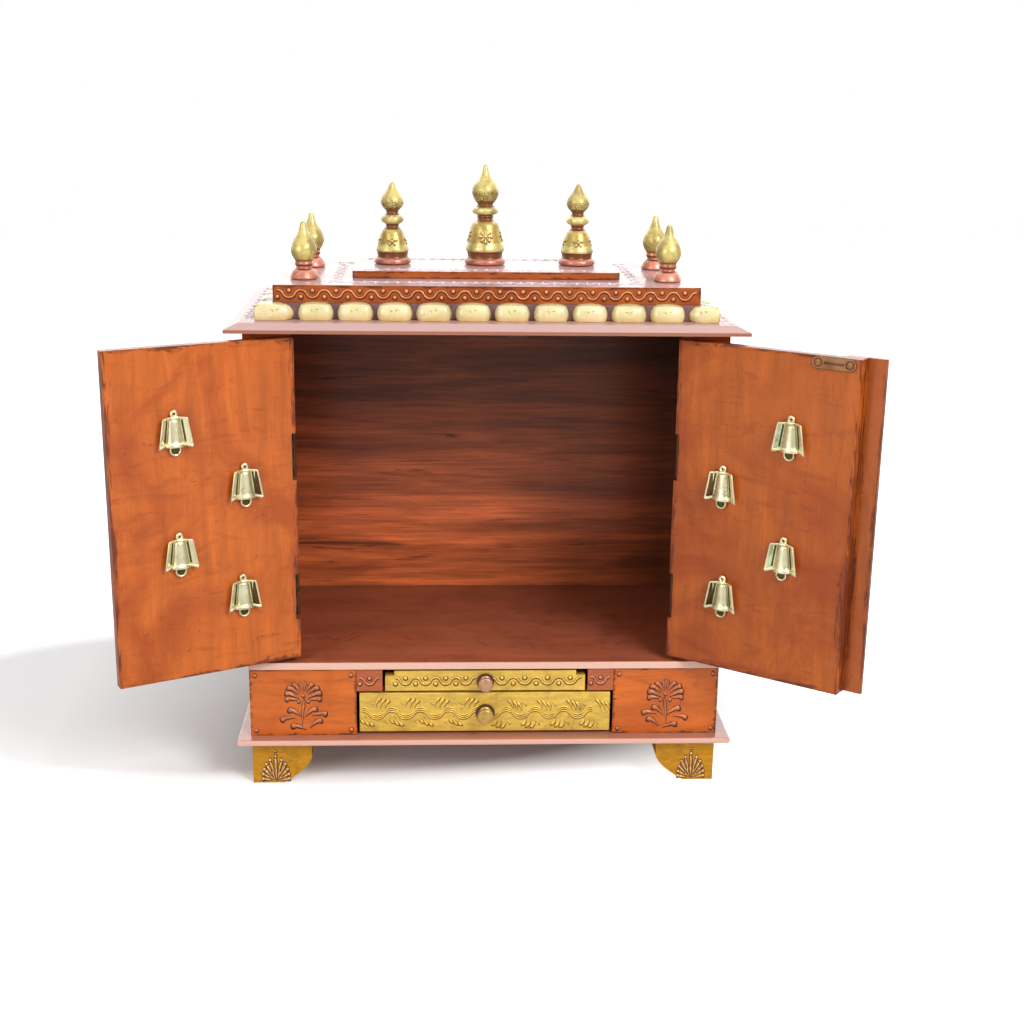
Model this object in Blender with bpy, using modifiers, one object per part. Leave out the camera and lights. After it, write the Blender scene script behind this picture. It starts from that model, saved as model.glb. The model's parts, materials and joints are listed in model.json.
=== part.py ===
"""Pooja mandir: a small wooden home-temple cabinet on four bracket feet.

Two doors stand open on butt hinges, a drawer and a shallow tray slide out of
the base, and a stepped roof carries petal mouldings and turned finials.
Metres, +Z up, doors towards -Y.
"""

from math import cos, pi, radians, sin

import bpy
import bmesh
from mathutils import Matrix, Vector

# Fits
SEAM = 0.0003
DOOR_GAP = 0.005
SLIDE_GAP = 0.003
REBATE_GAP = 0.005
CATCH_GAP = 0.002
PIN_FIT = 0.0003
CUT_PAST = 0.010

# Feet
FOOT_HEIGHT = 0.050
FOOT_WIDTH = 0.065
FOOT_SOLE = 0.034
FOOT_SHOULDER = 0.030
FOOT_BOW = 0.018
FOOT_BOW_INSET = 0.002
FOOT_INSET = 0.001
FOOT_CURVE_STEPS = 7

# Base box
BASE_WIDTH = 0.514
BASE_HEIGHT = 0.078
BASE_WALL = 0.012
FRONT_THICK = 0.010
PLATE_THICK = 0.007
PLATE_LIP = 0.014
PLATE_FRONT_LIP = 0.015
PLATE_EDGE = 0.002
FLOOR_THICK = 0.008
FLOOR_NOSE = 0.003
NICHE_WIDTH = 0.282

# Body
BODY_INSET = 0.003
BODY_DEPTH = 0.272
BODY_HEIGHT = 0.3615
BODY_SETBACK = 0.0165
WALL_THICK = 0.012
BACK_THICK = 0.012
STILE_THICK = 0.015
STILE_WIDTH = 0.048

# Doors
DOOR_THICK = 0.012
DOOR_ROUND = 0.0006
PIN_LEAD = 0.001
DOOR_DROP = 0.007
LEFT_OPEN = 152.8
RIGHT_OPEN = 144.0
ASTRAGAL_WIDTH = 0.040
ASTRAGAL_REACH = 0.0195
ASTRAGAL_THICK = 0.011
ASTRAGAL_ROUND = 0.0025
PULL_INSET = 0.041
PULL_HEIGHT = 0.175

# Butt hinges
HINGE_LENGTH = 0.050
HINGE_LOW = 0.0695
HINGE_HIGH = 0.2236
HINGE_LEAF = 0.011
HINGE_THICK = 0.001
HINGE_RADIUS = 0.0022
HINGE_PIN = 0.0009
HINGE_PIN_SHORT = 0.002
HINGE_ROOT = 0.0006
HINGE_LAP = 0.0008
HINGE_MORTISE = 0.0050
HINGE_KNUCKLES = 5
KNUCKLE_GAP = 0.0004
HINGE_SIDES = 10

# Catch
STRIKE_LENGTH = 0.046
STRIKE_HEIGHT = 0.012
STRIKE_THICK = 0.0012
STRIKE_FROM_EDGE = 0.005
STRIKE_FROM_TOP = 0.0006
CATCH_WIDTH = 0.024
CATCH_DEPTH = 0.014
CATCH_HEIGHT = 0.011
CATCH_ROUND = 0.0008

# Bells: distance from the hinge pin along the door, and lowest point above the door's lower edge
BELL_SPOTS = ((0.133, 0.239), (0.061, 0.177), (0.133, 0.112), (0.067, 0.058))
BELL_PLATE = 0.0020
BELL_WING_FOLD = 0.0080
BELL_WING_REACH = 0.0060
BELL_BULGE = 0.72
BELL_PLATE_FOOT = 0.036
BELL_PLATE_SHOULDER = 0.025
BELL_PLATE_LOW = 0.008
BELL_PLATE_HIGH = 0.0395
BELL_SCALLOP_RISE = 0.42
BELL_SLOPE = 0.0025
BELL_EAR = 0.008
BELL_EAR_HOLE = 0.0024
BELL_TOP = 0.048
BELL_RIM = 0.0112
BELL_CROWN = 0.0062
BELL_WALL = 0.0022
BELL_FLARE = 0.0024
BELL_LIP = 0.002
BELL_ARM = 0.003
BELL_LAP = 0.0008
BELL_LOW = 0.0095
BELL_SHOULDER = 0.0365
BELL_SIDES = 12
CLAPPER_RADIUS = 0.0046
CLAPPER_ROD = 0.0014
CLAPPER_SIDES = 8

# Drawer and tray
DRAWER_FRONT_LOW = 0.003
DRAWER_FRONT_HEIGHT = 0.0455
DRAWER_BACK_ROOM = 0.015
DRAWER_ROUND = 0.0008
DRAWER_SIDE = 0.008
DRAWER_BOTTOM = 0.005
SHELF_THICK = 0.006
RAIL_WIDTH = 0.0285
TRAY_HEIGHT = 0.0232
TRAY_SHOULDER = 0.0177
TRAY_NOTCH = 0.010
TRAY_BACK_ROOM = 0.040
TRAY_BOARD = 0.004
TRAY_SIDE = 0.006
TRAY_WALL_HEIGHT = 0.014

# Knobs
KNOB_RADIUS = 0.0100
KNOB_LENGTH = 0.018
KNOB_NECK = 0.0042
KNOB_SIDES = 12
PULL_RADIUS = 0.0085
PULL_LENGTH = 0.0165

# Roof
EAVE_SIDE_LIP = 0.0145
EAVE_FRONT_LIP = 0.021
EAVE_THICK = 0.0095
EAVE_EDGE = 0.0035
EAVE_SLOPE = 0.0135
PETAL_INSET = 0.0300
PETAL_HEIGHT = 0.0175
PETAL_GAP = 0.0036
PETAL_DEPTH = 0.0140
PETAL_PROUD = 0.0020
PETAL_CENTRE = 0.0035
PETAL_SQUARENESS = 0.58
PETAL_ROUNDNESS = 1.10
PETAL_PITCH = 0.0405
PETAL_BACKING = 0.0160
PETAL_BACKING_SET = 0.0085
PETALS_LONG = 12
PETALS_SHORT = 6
PETAL_AROUND = 12
PETAL_RINGS = 8
ROOF_INSET_SIDE = 0.046
ROOF_INSET_FRONT = 0.049
ROOF_HEIGHT = 0.034
ROOF_WALL = 0.008
CAP_INSET_SIDE = 0.079
CAP_INSET_FRONT = 0.0565
CAP_INSET_BACK = 0.026
CAP_HEIGHT = 0.008
CAP_CORNER = 0.004

# Finials
FINIAL_INSET_SIDE = 0.041
FINIAL_INSET_FRONT = 0.070
FINIAL_HEIGHT = 0.109
SIDE_FINIAL_HEIGHT = 0.0885
FINIAL_BASE = 0.0228
SIDE_FINIAL_BASE = 0.0205
CORNER_HEIGHT = 0.0600
CORNER_BASE = 0.0148
CORNER_INSET_X = 0.0285
CORNER_INSET_Y = 0.050
FINIAL_SIDES = 16
CORNER_SIDES = 14

# Levels and planes that follow from the sizes above
PLATE_TOP = FOOT_HEIGHT + PLATE_THICK
BASE_TOP = PLATE_TOP + BASE_HEIGHT
FLOOR_TOP = BASE_TOP + FLOOR_THICK
EAVE_BOTTOM = FLOOR_TOP + BODY_HEIGHT
EAVE_TOP = EAVE_BOTTOM + EAVE_THICK
ROOF_TOP = EAVE_TOP + ROOF_HEIGHT
CAP_TOP = ROOF_TOP + CAP_HEIGHT
BACK_INNER = BODY_DEPTH - BACK_THICK
BASE_HALF = BASE_WIDTH / 2
BODY_HALF = BASE_HALF - BODY_INSET
OPENING_HALF = BODY_HALF - STILE_WIDTH
PIN_X = OPENING_HALF - DOOR_GAP / 2
PIN_Y = BODY_SETBACK - PIN_LEAD
DOOR_LOW = FLOOR_TOP + DOOR_GAP
DOOR_HIGH = EAVE_BOTTOM - DOOR_DROP
DOOR_FREE_EDGE = PIN_X - DOOR_GAP / 2
DOOR_INNER = PIN_LEAD + DOOR_THICK
EAVE_HALF = BODY_HALF + EAVE_SIDE_LIP
EAVE_BACK = BODY_DEPTH + EAVE_SIDE_LIP
ROOF_HALF = EAVE_HALF - ROOF_INSET_SIDE
ROOF_FRONT = ROOF_INSET_FRONT - EAVE_FRONT_LIP
ROOF_BACK = EAVE_BACK - ROOF_INSET_FRONT
CAP_HALF = ROOF_HALF - CAP_INSET_SIDE
CAP_FRONT = ROOF_FRONT + CAP_INSET_FRONT
CAP_BACK = ROOF_BACK - CAP_INSET_BACK
DRAWER_HALF = NICHE_WIDTH / 2 - SLIDE_GAP
TRAY_HALF = NICHE_WIDTH / 2 - RAIL_WIDTH - SLIDE_GAP
DRAWER_FRONT_TOP = PLATE_TOP + DRAWER_FRONT_LOW + DRAWER_FRONT_HEIGHT
TRAY_LOW = DRAWER_FRONT_TOP + SLIDE_GAP
SHELF_LOW = TRAY_LOW - SHELF_THICK
DRAWER_BACK = BACK_INNER - DRAWER_BACK_ROOM
TRAY_BACK = BACK_INNER - TRAY_BACK_ROOM

PARTS = bpy.data.collections.new("pooja_mandir")
CUTTERS = bpy.data.collections.new("cutters")
ROOT = bpy.data.objects.new("mandir_frame", None)


def clear_scene():
    """Remove every object and link the two collections."""
    for obj in list(bpy.data.objects):
        if obj is not ROOT:
            bpy.data.objects.remove(obj, do_unlink=True)
    bpy.context.scene.collection.children.link(PARTS)
    bpy.context.scene.collection.children.link(CUTTERS)
    PARTS.objects.link(ROOT)


def material(name, colour, roughness, metallic=0.0):
    """Return the Principled material of that name, made once."""
    mat = bpy.data.materials.get(name)
    if mat is None:
        mat = bpy.data.materials.new(name)
        mat.use_nodes = True
        shader = mat.node_tree.nodes["Principled BSDF"]
        shader.inputs["Base Color"].default_value = (*colour, 1.0)
        shader.inputs["Roughness"].default_value = roughness
        shader.inputs["Metallic"].default_value = metallic
    return mat


def wood():
    return material("stained_wood", (0.46, 0.13, 0.045), 0.38)


def dark_wood():
    return material("dark_wood", (0.12, 0.035, 0.02), 0.42)


def gold():
    return material("gold_paint", (0.62, 0.46, 0.15), 0.36, 0.75)


def cream():
    return material("cream_lacquer", (0.83, 0.76, 0.47), 0.35)


def brass():
    return material("brass", (0.78, 0.68, 0.34), 0.28, 1.0)


def steel():
    return material("bright_steel", (0.72, 0.70, 0.66), 0.3, 1.0)


def add_part(name, mesh, mat, parent=None, location=(0.0, 0.0, 0.0)):
    """Put a mesh in the model as a named part."""
    obj = bpy.data.objects.new(name, mesh)
    PARTS.objects.link(obj)
    obj.parent = parent or ROOT
    obj.location = location
    if not mesh.materials:
        mesh.materials.append(mat)
    return obj


def add_cutter(name, mesh):
    """Put a mesh among the tools that shape the parts."""
    obj = bpy.data.objects.new(name, mesh)
    CUTTERS.objects.link(obj)
    obj.hide_render = True
    obj.display_type = "WIRE"
    return obj


def boolean(obj, tool, operation):
    """Add a live exact Boolean to a part."""
    mod = obj.modifiers.new(operation.lower(), "BOOLEAN")
    mod.operation = operation
    mod.solver = "EXACT"
    mod.object = tool
    return mod


def bevel(obj, width, segments=1):
    """Round the sharp edges."""
    mod = obj.modifiers.new("round", "BEVEL")
    mod.width = width
    mod.segments = segments
    mod.limit_method = "ANGLE"
    mod.angle_limit = radians(40)
    return mod


def smooth(mesh, angle=35.0):
    mesh.shade_smooth()
    mesh.set_sharp_from_angle(angle=radians(angle))


def block_mesh(name, size):
    """A box centred on its own origin."""
    bm = bmesh.new()
    bmesh.ops.create_cube(bm, size=1.0)
    bmesh.ops.scale(bm, vec=Vector(size), verts=bm.verts)
    mesh = bpy.data.meshes.new(name)
    bm.to_mesh(mesh)
    bm.free()
    return mesh


def board(name, x, y, z, mat, parent=None):
    """A board between pairs of planes, with its origin at its middle."""
    size = (x[1] - x[0], y[1] - y[0], z[1] - z[0])
    centre = (sum(x) / 2, sum(y) / 2, sum(z) / 2)
    return add_part(name, block_mesh(name, size), mat, parent, centre)


def block_cutter(name, x, y, z, parent=None):
    """A box-shaped tool between pairs of planes of its parent's frame."""
    size = (x[1] - x[0], y[1] - y[0], z[1] - z[0])
    tool = add_cutter(name, block_mesh(name, size))
    tool.parent = parent or ROOT
    tool.location = (sum(x) / 2, sum(y) / 2, sum(z) / 2)
    return tool


def outline_mesh(name, points, thickness, holes=()):
    """A flat outline given in X and Z, with its thickness centred on Y = 0."""
    curve = bpy.data.curves.new(name, "CURVE")
    curve.dimensions = "2D"
    curve.fill_mode = "BOTH"
    curve.extrude = thickness / 2
    for loop in (points, *holes):
        spline = curve.splines.new("POLY")
        spline.points.add(len(loop) - 1)
        for spot, (x, z) in zip(spline.points, loop):
            spot.co = (x, z, 0.0, 1.0)
        spline.use_cyclic_u = True
    obj = bpy.data.objects.new(name, curve)
    bpy.context.scene.collection.objects.link(obj)
    bpy.context.view_layer.update()
    graph = bpy.context.evaluated_depsgraph_get()
    mesh = bpy.data.meshes.new_from_object(obj.evaluated_get(graph))
    bpy.data.objects.remove(obj, do_unlink=True)
    bpy.data.curves.remove(curve)
    mesh.name = name
    mesh.materials.clear()
    bm = bmesh.new()
    bm.from_mesh(mesh)
    bmesh.ops.remove_doubles(bm, verts=bm.verts, dist=1e-6)
    bmesh.ops.recalc_face_normals(bm, faces=bm.faces)
    bmesh.ops.rotate(bm, cent=(0, 0, 0), matrix=Matrix.Rotation(pi / 2, 3, "X"), verts=bm.verts)
    bm.to_mesh(mesh)
    bm.free()
    return mesh


def turned_mesh(name, profile, sides):
    """A turned solid from (radius, height) pairs that run from top to bottom."""
    mesh = bpy.data.meshes.new(name + "_profile")
    edges = [(i, i + 1) for i in range(len(profile) - 1)]
    mesh.from_pydata([(r, 0.0, z) for r, z in profile], edges, [])
    obj = bpy.data.objects.new(name, mesh)
    bpy.context.scene.collection.objects.link(obj)
    turn = obj.modifiers.new("turn", "SCREW")
    turn.angle = 2 * pi
    turn.steps = sides
    turn.render_steps = sides
    turn.use_merge_vertices = True
    turn.merge_threshold = 1e-6
    bpy.context.view_layer.update()
    graph = bpy.context.evaluated_depsgraph_get()
    solid = bpy.data.meshes.new_from_object(obj.evaluated_get(graph))
    bpy.data.objects.remove(obj, do_unlink=True)
    bpy.data.meshes.remove(mesh)
    solid.name = name
    smooth(solid)
    return solid


def settled_mesh(obj, name):
    """The evaluated mesh of an object with live modifiers, for copies of it."""
    bpy.context.view_layer.update()
    graph = bpy.context.evaluated_depsgraph_get()
    mesh = bpy.data.meshes.new_from_object(obj.evaluated_get(graph))
    mesh.name = name
    return mesh


def arc(centre, radius, start, stop, steps):
    """Points on an arc in degrees, both ends included."""
    turns = [radians(start + (stop - start) * i / steps) for i in range(steps + 1)]
    return [(centre[0] + radius * cos(t), centre[1] + radius * sin(t)) for t in turns]


def foot_mesh():
    """A bracket foot: the same bowed outline cut from the front and from the side."""
    start = Vector((FOOT_SOLE, 0.0))
    pull = Vector((FOOT_WIDTH - FOOT_BOW_INSET, FOOT_BOW))
    stop = Vector((FOOT_WIDTH, FOOT_SHOULDER))
    bow = []
    for i in range(FOOT_CURVE_STEPS + 1):
        t = i / FOOT_CURVE_STEPS
        bow.append(tuple((1 - t) ** 2 * start + 2 * t * (1 - t) * pull + t * t * stop))
    top = FOOT_HEIGHT - SEAM
    points = [(0.0, 0.0), *bow, (FOOT_WIDTH, top), (0.0, top)]
    front = outline_mesh("foot_front_view", points, FOOT_WIDTH)
    front.transform(Matrix.Translation((0.0, FOOT_WIDTH / 2, 0.0)))
    side = outline_mesh("foot_side_view", points, FOOT_WIDTH + 2 * CUT_PAST)
    side.transform(Matrix.Rotation(pi / 2, 4, "Z"))
    side.transform(Matrix.Translation((FOOT_WIDTH / 2, 0.0, 0.0)))
    blank = add_cutter("foot_blank", front)
    cut = add_cutter("foot_side_cut", side)
    boolean(blank, cut, "INTERSECT")
    mesh = settled_mesh(blank, "bracket_foot")
    mesh.materials.clear()
    return mesh


def make_feet():
    """Four bracket feet under the corners of the base."""
    mesh = foot_mesh()
    mesh.materials.append(gold())
    half = BASE_HALF - FOOT_INSET
    spots = (
        ("foot_front_left", -half, 0.0, 0.0),
        ("foot_front_right", half, 0.0, 90.0),
        ("foot_back_right", half, BODY_DEPTH, 180.0),
        ("foot_back_left", -half, BODY_DEPTH, 270.0),
    )
    for name, x, y, turn in spots:
        obj = add_part(name, mesh, gold(), location=(x, y, 0.0))
        obj.rotation_euler.z = radians(turn)


def make_base():
    """Plate, sides, front panels, drawer guides and the shelf that bears the tray."""
    half = BASE_HALF
    plate = board(
        "base_plate",
        (-half - PLATE_LIP, half + PLATE_LIP),
        (-PLATE_FRONT_LIP, BODY_DEPTH + PLATE_LIP),
        (FOOT_HEIGHT, PLATE_TOP - SEAM),
        dark_wood(),
    )
    bevel(plate, PLATE_EDGE, 2)
    niche = NICHE_WIDTH / 2
    levels = (PLATE_TOP, BASE_TOP - SEAM)
    depth = (FRONT_THICK + SEAM, BACK_INNER - SEAM)
    for side, s in (("left", -1), ("right", 1)):
        x = sorted((s * niche, s * half))
        board("base_panel_" + side, x, (0.0, FRONT_THICK), levels, wood())
        x = sorted((s * (half - BASE_WALL), s * half))
        board("base_side_" + side, x, depth, levels, wood())
        x = sorted((s * niche, s * (niche + BASE_WALL)))
        board("drawer_guide_" + side, x, depth, levels, dark_wood())
    make_tray_shelf()
    board(
        "floor_board",
        (-half, half),
        (-FLOOR_NOSE, BACK_INNER - SEAM),
        (BASE_TOP, FLOOR_TOP - SEAM),
        wood(),
    )


def make_tray_shelf():
    """A shelf between the guides with a rail beside each side of the tray."""
    outer = NICHE_WIDTH / 2 - SEAM
    inner = TRAY_HALF + SLIDE_GAP
    low = SHELF_LOW
    mid = TRAY_LOW
    top = BASE_TOP - SEAM
    points = [
        (-outer, low), (outer, low), (outer, top), (inner, top),
        (inner, mid), (-inner, mid), (-inner, top), (-outer, top),
    ]
    back = BACK_INNER - SEAM
    mesh = outline_mesh("tray_shelf", points, back)
    shelf = add_part("tray_shelf", mesh, wood(), location=(0.0, back / 2, 0.0))
    front_clear = FRONT_THICK + SLIDE_GAP
    tool = block_cutter(
        "shelf_front_cut",
        (-outer - CUT_PAST, outer + CUT_PAST),
        (-CUT_PAST, front_clear),
        (low - CUT_PAST, mid),
    )
    boolean(shelf, tool, "DIFFERENCE")


def make_body():
    """Back, side walls and the stiles that hang the doors."""
    half = BODY_HALF
    top = EAVE_BOTTOM - SEAM
    board("back_wall", (-half, half), (BACK_INNER, BODY_DEPTH), (PLATE_TOP, top), dark_wood())
    stile_back = BODY_SETBACK + STILE_THICK
    for side, s in (("left", -1), ("right", 1)):
        x = sorted((s * OPENING_HALF, s * half))
        board("stile_" + side, x, (BODY_SETBACK, stile_back - SEAM), (FLOOR_TOP, top), wood())
        x = sorted((s * (half - WALL_THICK), s * half))
        board("side_wall_" + side, x, (stile_back, BACK_INNER - SEAM), (FLOOR_TOP, top), wood())


def make_eave():
    """The eave board: a thin square edge under a sloping weathered top edge."""
    bm = bmesh.new()
    bmesh.ops.create_cube(bm, size=1.0)
    depth = EAVE_BACK + EAVE_FRONT_LIP
    bmesh.ops.scale(bm, vec=(2 * EAVE_HALF, depth, EAVE_EDGE), verts=bm.verts)
    top = [f for f in bm.faces if f.normal.z > 0.5]
    lifted = bmesh.ops.extrude_face_region(bm, geom=top)
    bmesh.ops.delete(bm, geom=top, context="FACES_ONLY")
    verts = [v for v in lifted["geom"] if isinstance(v, bmesh.types.BMVert)]
    bmesh.ops.translate(bm, vec=(0.0, 0.0, EAVE_THICK - EAVE_EDGE - SEAM), verts=verts)
    for v in verts:
        v.co.x -= EAVE_SLOPE if v.co.x > 0 else -EAVE_SLOPE
        v.co.y -= EAVE_SLOPE if v.co.y > 0 else -EAVE_SLOPE
    bmesh.ops.recalc_face_normals(bm, faces=bm.faces)
    mesh = bpy.data.meshes.new("eave_board")
    bm.to_mesh(mesh)
    bm.free()
    centre = (0.0, (EAVE_BACK - EAVE_FRONT_LIP) / 2, EAVE_BOTTOM + EAVE_EDGE / 2)
    add_part("eave_board", mesh, wood(), location=centre)


def petal_row_mesh(name, length, count, pitch):
    """Pillow-shaped petals in a row along X, the end ones long enough for the mitre."""
    bm = bmesh.new()
    for i in range(count):
        left = -length / 2 + i * pitch + PETAL_GAP / 2
        right = left + pitch - PETAL_GAP
        if i == 0:
            left -= pitch
        if i == count - 1:
            right = length / 2 + pitch
        made = bmesh.ops.create_uvsphere(
            bm, u_segments=PETAL_AROUND, v_segments=PETAL_RINGS, radius=1.0
        )
        half = (right - left) / 2
        rise = PETAL_HEIGHT - PETAL_CENTRE
        for v in made["verts"]:
            v.co.x = (left + right) / 2 + half * swelled(v.co.x, PETAL_SQUARENESS)
            v.co.y = PETAL_DEPTH * swelled(v.co.y, PETAL_ROUNDNESS)
            v.co.z = PETAL_CENTRE + rise * swelled(v.co.z, PETAL_SQUARENESS)
    mesh = bpy.data.meshes.new(name)
    bm.to_mesh(mesh)
    bm.free()
    smooth(mesh, 60.0)
    return mesh


def swelled(share, power):
    """A coordinate of a round ball, moved to make the ball squarer or slimmer."""
    return abs(share) ** power * (1 if share > 0 else -1)


def make_petals(name, length, count, middle, turn, reach, pitch=None):
    """One mitred length of lotus-petal moulding against a side of the roof box."""
    frame = bpy.data.objects.new(name + "_frame", None)
    CUTTERS.objects.link(frame)
    frame.parent = ROOT
    frame.location = (*middle, EAVE_TOP)
    frame.rotation_euler.z = radians(turn)
    back = reach - SEAM
    deep = back - PETAL_BACKING_SET
    size = (length + 2 * CUT_PAST, deep, PETAL_BACKING + CUT_PAST)
    strip = add_part(name, block_mesh(name, size), cream(), frame)
    strip.location = (0.0, PETAL_BACKING_SET + deep / 2, PETAL_BACKING - size[2] / 2)
    mesh = petal_row_mesh(name + "_row", length, count, pitch or length / count)
    row = add_cutter(name + "_row", mesh)
    row.parent = frame
    row.location.y = PETAL_DEPTH - PETAL_PROUD
    boolean(strip, row, "UNION")
    out = length / 2 - SEAM
    front = -2 * CUT_PAST
    plan = [
        (-out + front, front), (out - front, front),
        (out - back, back), (-out + back, back),
    ]
    tall = EAVE_THICK + 2 * PETAL_HEIGHT
    mitre = outline_mesh(name + "_mitre", plan, tall)
    mitre.transform(Matrix.Rotation(-pi / 2, 4, "X"))
    tool = add_cutter(name + "_mitre", mitre)
    tool.parent = frame
    tool.location.z = tall / 2
    boolean(strip, tool, "INTERSECT")


def make_roof():
    """Eave, petal mouldings, the hollow roof box and its cap."""
    make_eave()
    long = 2 * (EAVE_HALF - PETAL_INSET)
    front = PETAL_INSET - EAVE_FRONT_LIP
    back = EAVE_BACK - PETAL_INSET
    short = back - front
    middle = (front + back) / 2
    reach_y = ROOF_FRONT - front
    reach_x = long / 2 - ROOF_HALF
    make_petals("petals_front", long, PETALS_LONG, (0.0, front), 0.0, reach_y, PETAL_PITCH)
    make_petals("petals_back", long, PETALS_LONG, (0.0, back), 180.0, reach_y)
    make_petals("petals_left", short, PETALS_SHORT, (-long / 2, middle), -90.0, reach_x)
    make_petals("petals_right", short, PETALS_SHORT, (long / 2, middle), 90.0, reach_x)
    make_roof_box()
    cap = board(
        "roof_cap",
        (-CAP_HALF, CAP_HALF),
        (CAP_FRONT, CAP_BACK),
        (ROOF_TOP, CAP_TOP - SEAM),
        wood(),
    )
    bm = bmesh.new()
    bm.from_mesh(cap.data)
    upright = [e for e in bm.edges if abs((e.verts[0].co - e.verts[1].co).z) > CAP_HEIGHT / 2]
    bmesh.ops.bevel(bm, geom=upright, offset=CAP_CORNER, segments=3, profile=0.5, affect="EDGES")
    bm.to_mesh(cap.data)
    bm.free()


def make_roof_box():
    """A box open below, five boards thick-walled by Solidify."""
    bm = bmesh.new()
    bmesh.ops.create_cube(bm, size=1.0)
    size = (2 * ROOF_HALF, ROOF_BACK - ROOF_FRONT, ROOF_HEIGHT - SEAM)
    bmesh.ops.scale(bm, vec=size, verts=bm.verts)
    below = [f for f in bm.faces if f.normal.z < -0.5]
    bmesh.ops.delete(bm, geom=below, context="FACES_ONLY")
    mesh = bpy.data.meshes.new("roof_box")
    bm.to_mesh(mesh)
    bm.free()
    centre = (0.0, (ROOF_FRONT + ROOF_BACK) / 2, EAVE_TOP + size[2] / 2)
    box = add_part("roof_box", mesh, wood(), location=centre)
    shell = box.modifiers.new("boards", "SOLIDIFY")
    shell.thickness = ROOF_WALL
    shell.offset = -1.0
    shell.use_even_offset = True


def tall_finial():
    """Outline of the centre finial as shares of its base radius and height, from the tip down."""
    return (
        (0.0, 1.0), (0.10, 0.985), (0.15, 0.93), (0.20, 0.88), (0.31, 0.83),
        (0.50, 0.78), (0.62, 0.73), (0.60, 0.69), (0.47, 0.635), (0.37, 0.62),
        (0.37, 0.595), (0.57, 0.57), (0.62, 0.545), (0.55, 0.515), (0.37, 0.485),
        (0.37, 0.460), (0.56, 0.435), (0.64, 0.39), (0.73, 0.29), (0.86, 0.19),
        (0.96, 0.145), (0.80, 0.125), (0.78, 0.085), (0.92, 0.070), (1.0, 0.055),
        (1.0, 0.0), (0.0, 0.0),
    )


def low_finial():
    """Outline of a side finial, with a shorter tip and a longer bulb."""
    return (
        (0.0, 1.0), (0.12, 0.985), (0.20, 0.94), (0.34, 0.885), (0.50, 0.825),
        (0.61, 0.77), (0.60, 0.74), (0.46, 0.685), (0.31, 0.655), (0.31, 0.625),
        (0.55, 0.59), (0.60, 0.56), (0.52, 0.525), (0.34, 0.495), (0.34, 0.465),
        (0.50, 0.425), (0.58, 0.385), (0.70, 0.29), (0.83, 0.20), (0.90, 0.17),
        (0.80, 0.145), (0.78, 0.10), (0.92, 0.085), (1.0, 0.065), (1.0, 0.0), (0.0, 0.0),
    )


def corner_vase():
    """Outline of a corner vase: a blunt spout, a round body and a flared foot."""
    return (
        (0.0, 1.0), (0.17, 0.985), (0.26, 0.90), (0.36, 0.82), (0.58, 0.72),
        (0.83, 0.62), (0.93, 0.54), (0.90, 0.45), (0.76, 0.36), (0.60, 0.32),
        (0.64, 0.27), (0.53, 0.22), (0.56, 0.18), (0.78, 0.155), (0.90, 0.09),
        (1.0, 0.045), (1.0, 0.0), (0.0, 0.0),
    )


def finial_mesh(name, shares, base, height, sides):
    """A finial turned from its outline."""
    return turned_mesh(name, [(r * base, z * height) for r, z in shares], sides)


def make_finials():
    """Three turned finials on the cap and four vases at the roof's corners."""
    tall = finial_mesh("finial_tall", tall_finial(), FINIAL_BASE, FINIAL_HEIGHT, FINIAL_SIDES)
    low = finial_mesh(
        "finial_low", low_finial(), SIDE_FINIAL_BASE, SIDE_FINIAL_HEIGHT, FINIAL_SIDES
    )
    vase = finial_mesh("finial_vase", corner_vase(), CORNER_BASE, CORNER_HEIGHT, CORNER_SIDES)
    y = CAP_FRONT + FINIAL_INSET_FRONT
    apart = CAP_HALF - FINIAL_INSET_SIDE
    add_part("finial_centre", tall, gold(), location=(0.0, y, CAP_TOP))
    add_part("finial_left", low, gold(), location=(-apart, y, CAP_TOP))
    add_part("finial_right", low, gold(), location=(apart, y, CAP_TOP))
    x = ROOF_HALF - CORNER_INSET_X
    for side, s in (("left", -1), ("right", 1)):
        for end, yy in (("front", ROOF_FRONT + CORNER_INSET_Y), ("back", ROOF_BACK - CORNER_INSET_Y)):
            name = "corner_finial_" + end + "_" + side
            add_part(name, vase, gold(), location=(s * x, yy, ROOF_TOP))


def knob_mesh(name, radius, length):
    """A turned knob: rose, neck and domed button, its axis along Z."""
    neck = KNOB_NECK
    profile = [(0.0, length)]
    dome = length * 0.22
    for i in range(1, 5):
        t = i / 4 * pi / 2
        profile.append((radius * sin(t), length - dome * (1 - cos(t))))
    profile += [
        (radius, length * 0.66), (radius * 0.82, length * 0.56), (neck, length * 0.46),
        (neck, length * 0.20), (radius * 0.72, length * 0.12), (radius * 0.76, 0.0), (0.0, 0.0),
    ]
    return turned_mesh(name, profile, KNOB_SIDES)


def add_knob(name, mesh, parent, x, y, z):
    """A knob that points towards -Y, seated on the face at Y = y."""
    obj = add_part(name, mesh, brass(), parent, (x, y - SEAM, z))
    obj.rotation_euler.x = pi / 2
    return obj


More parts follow.
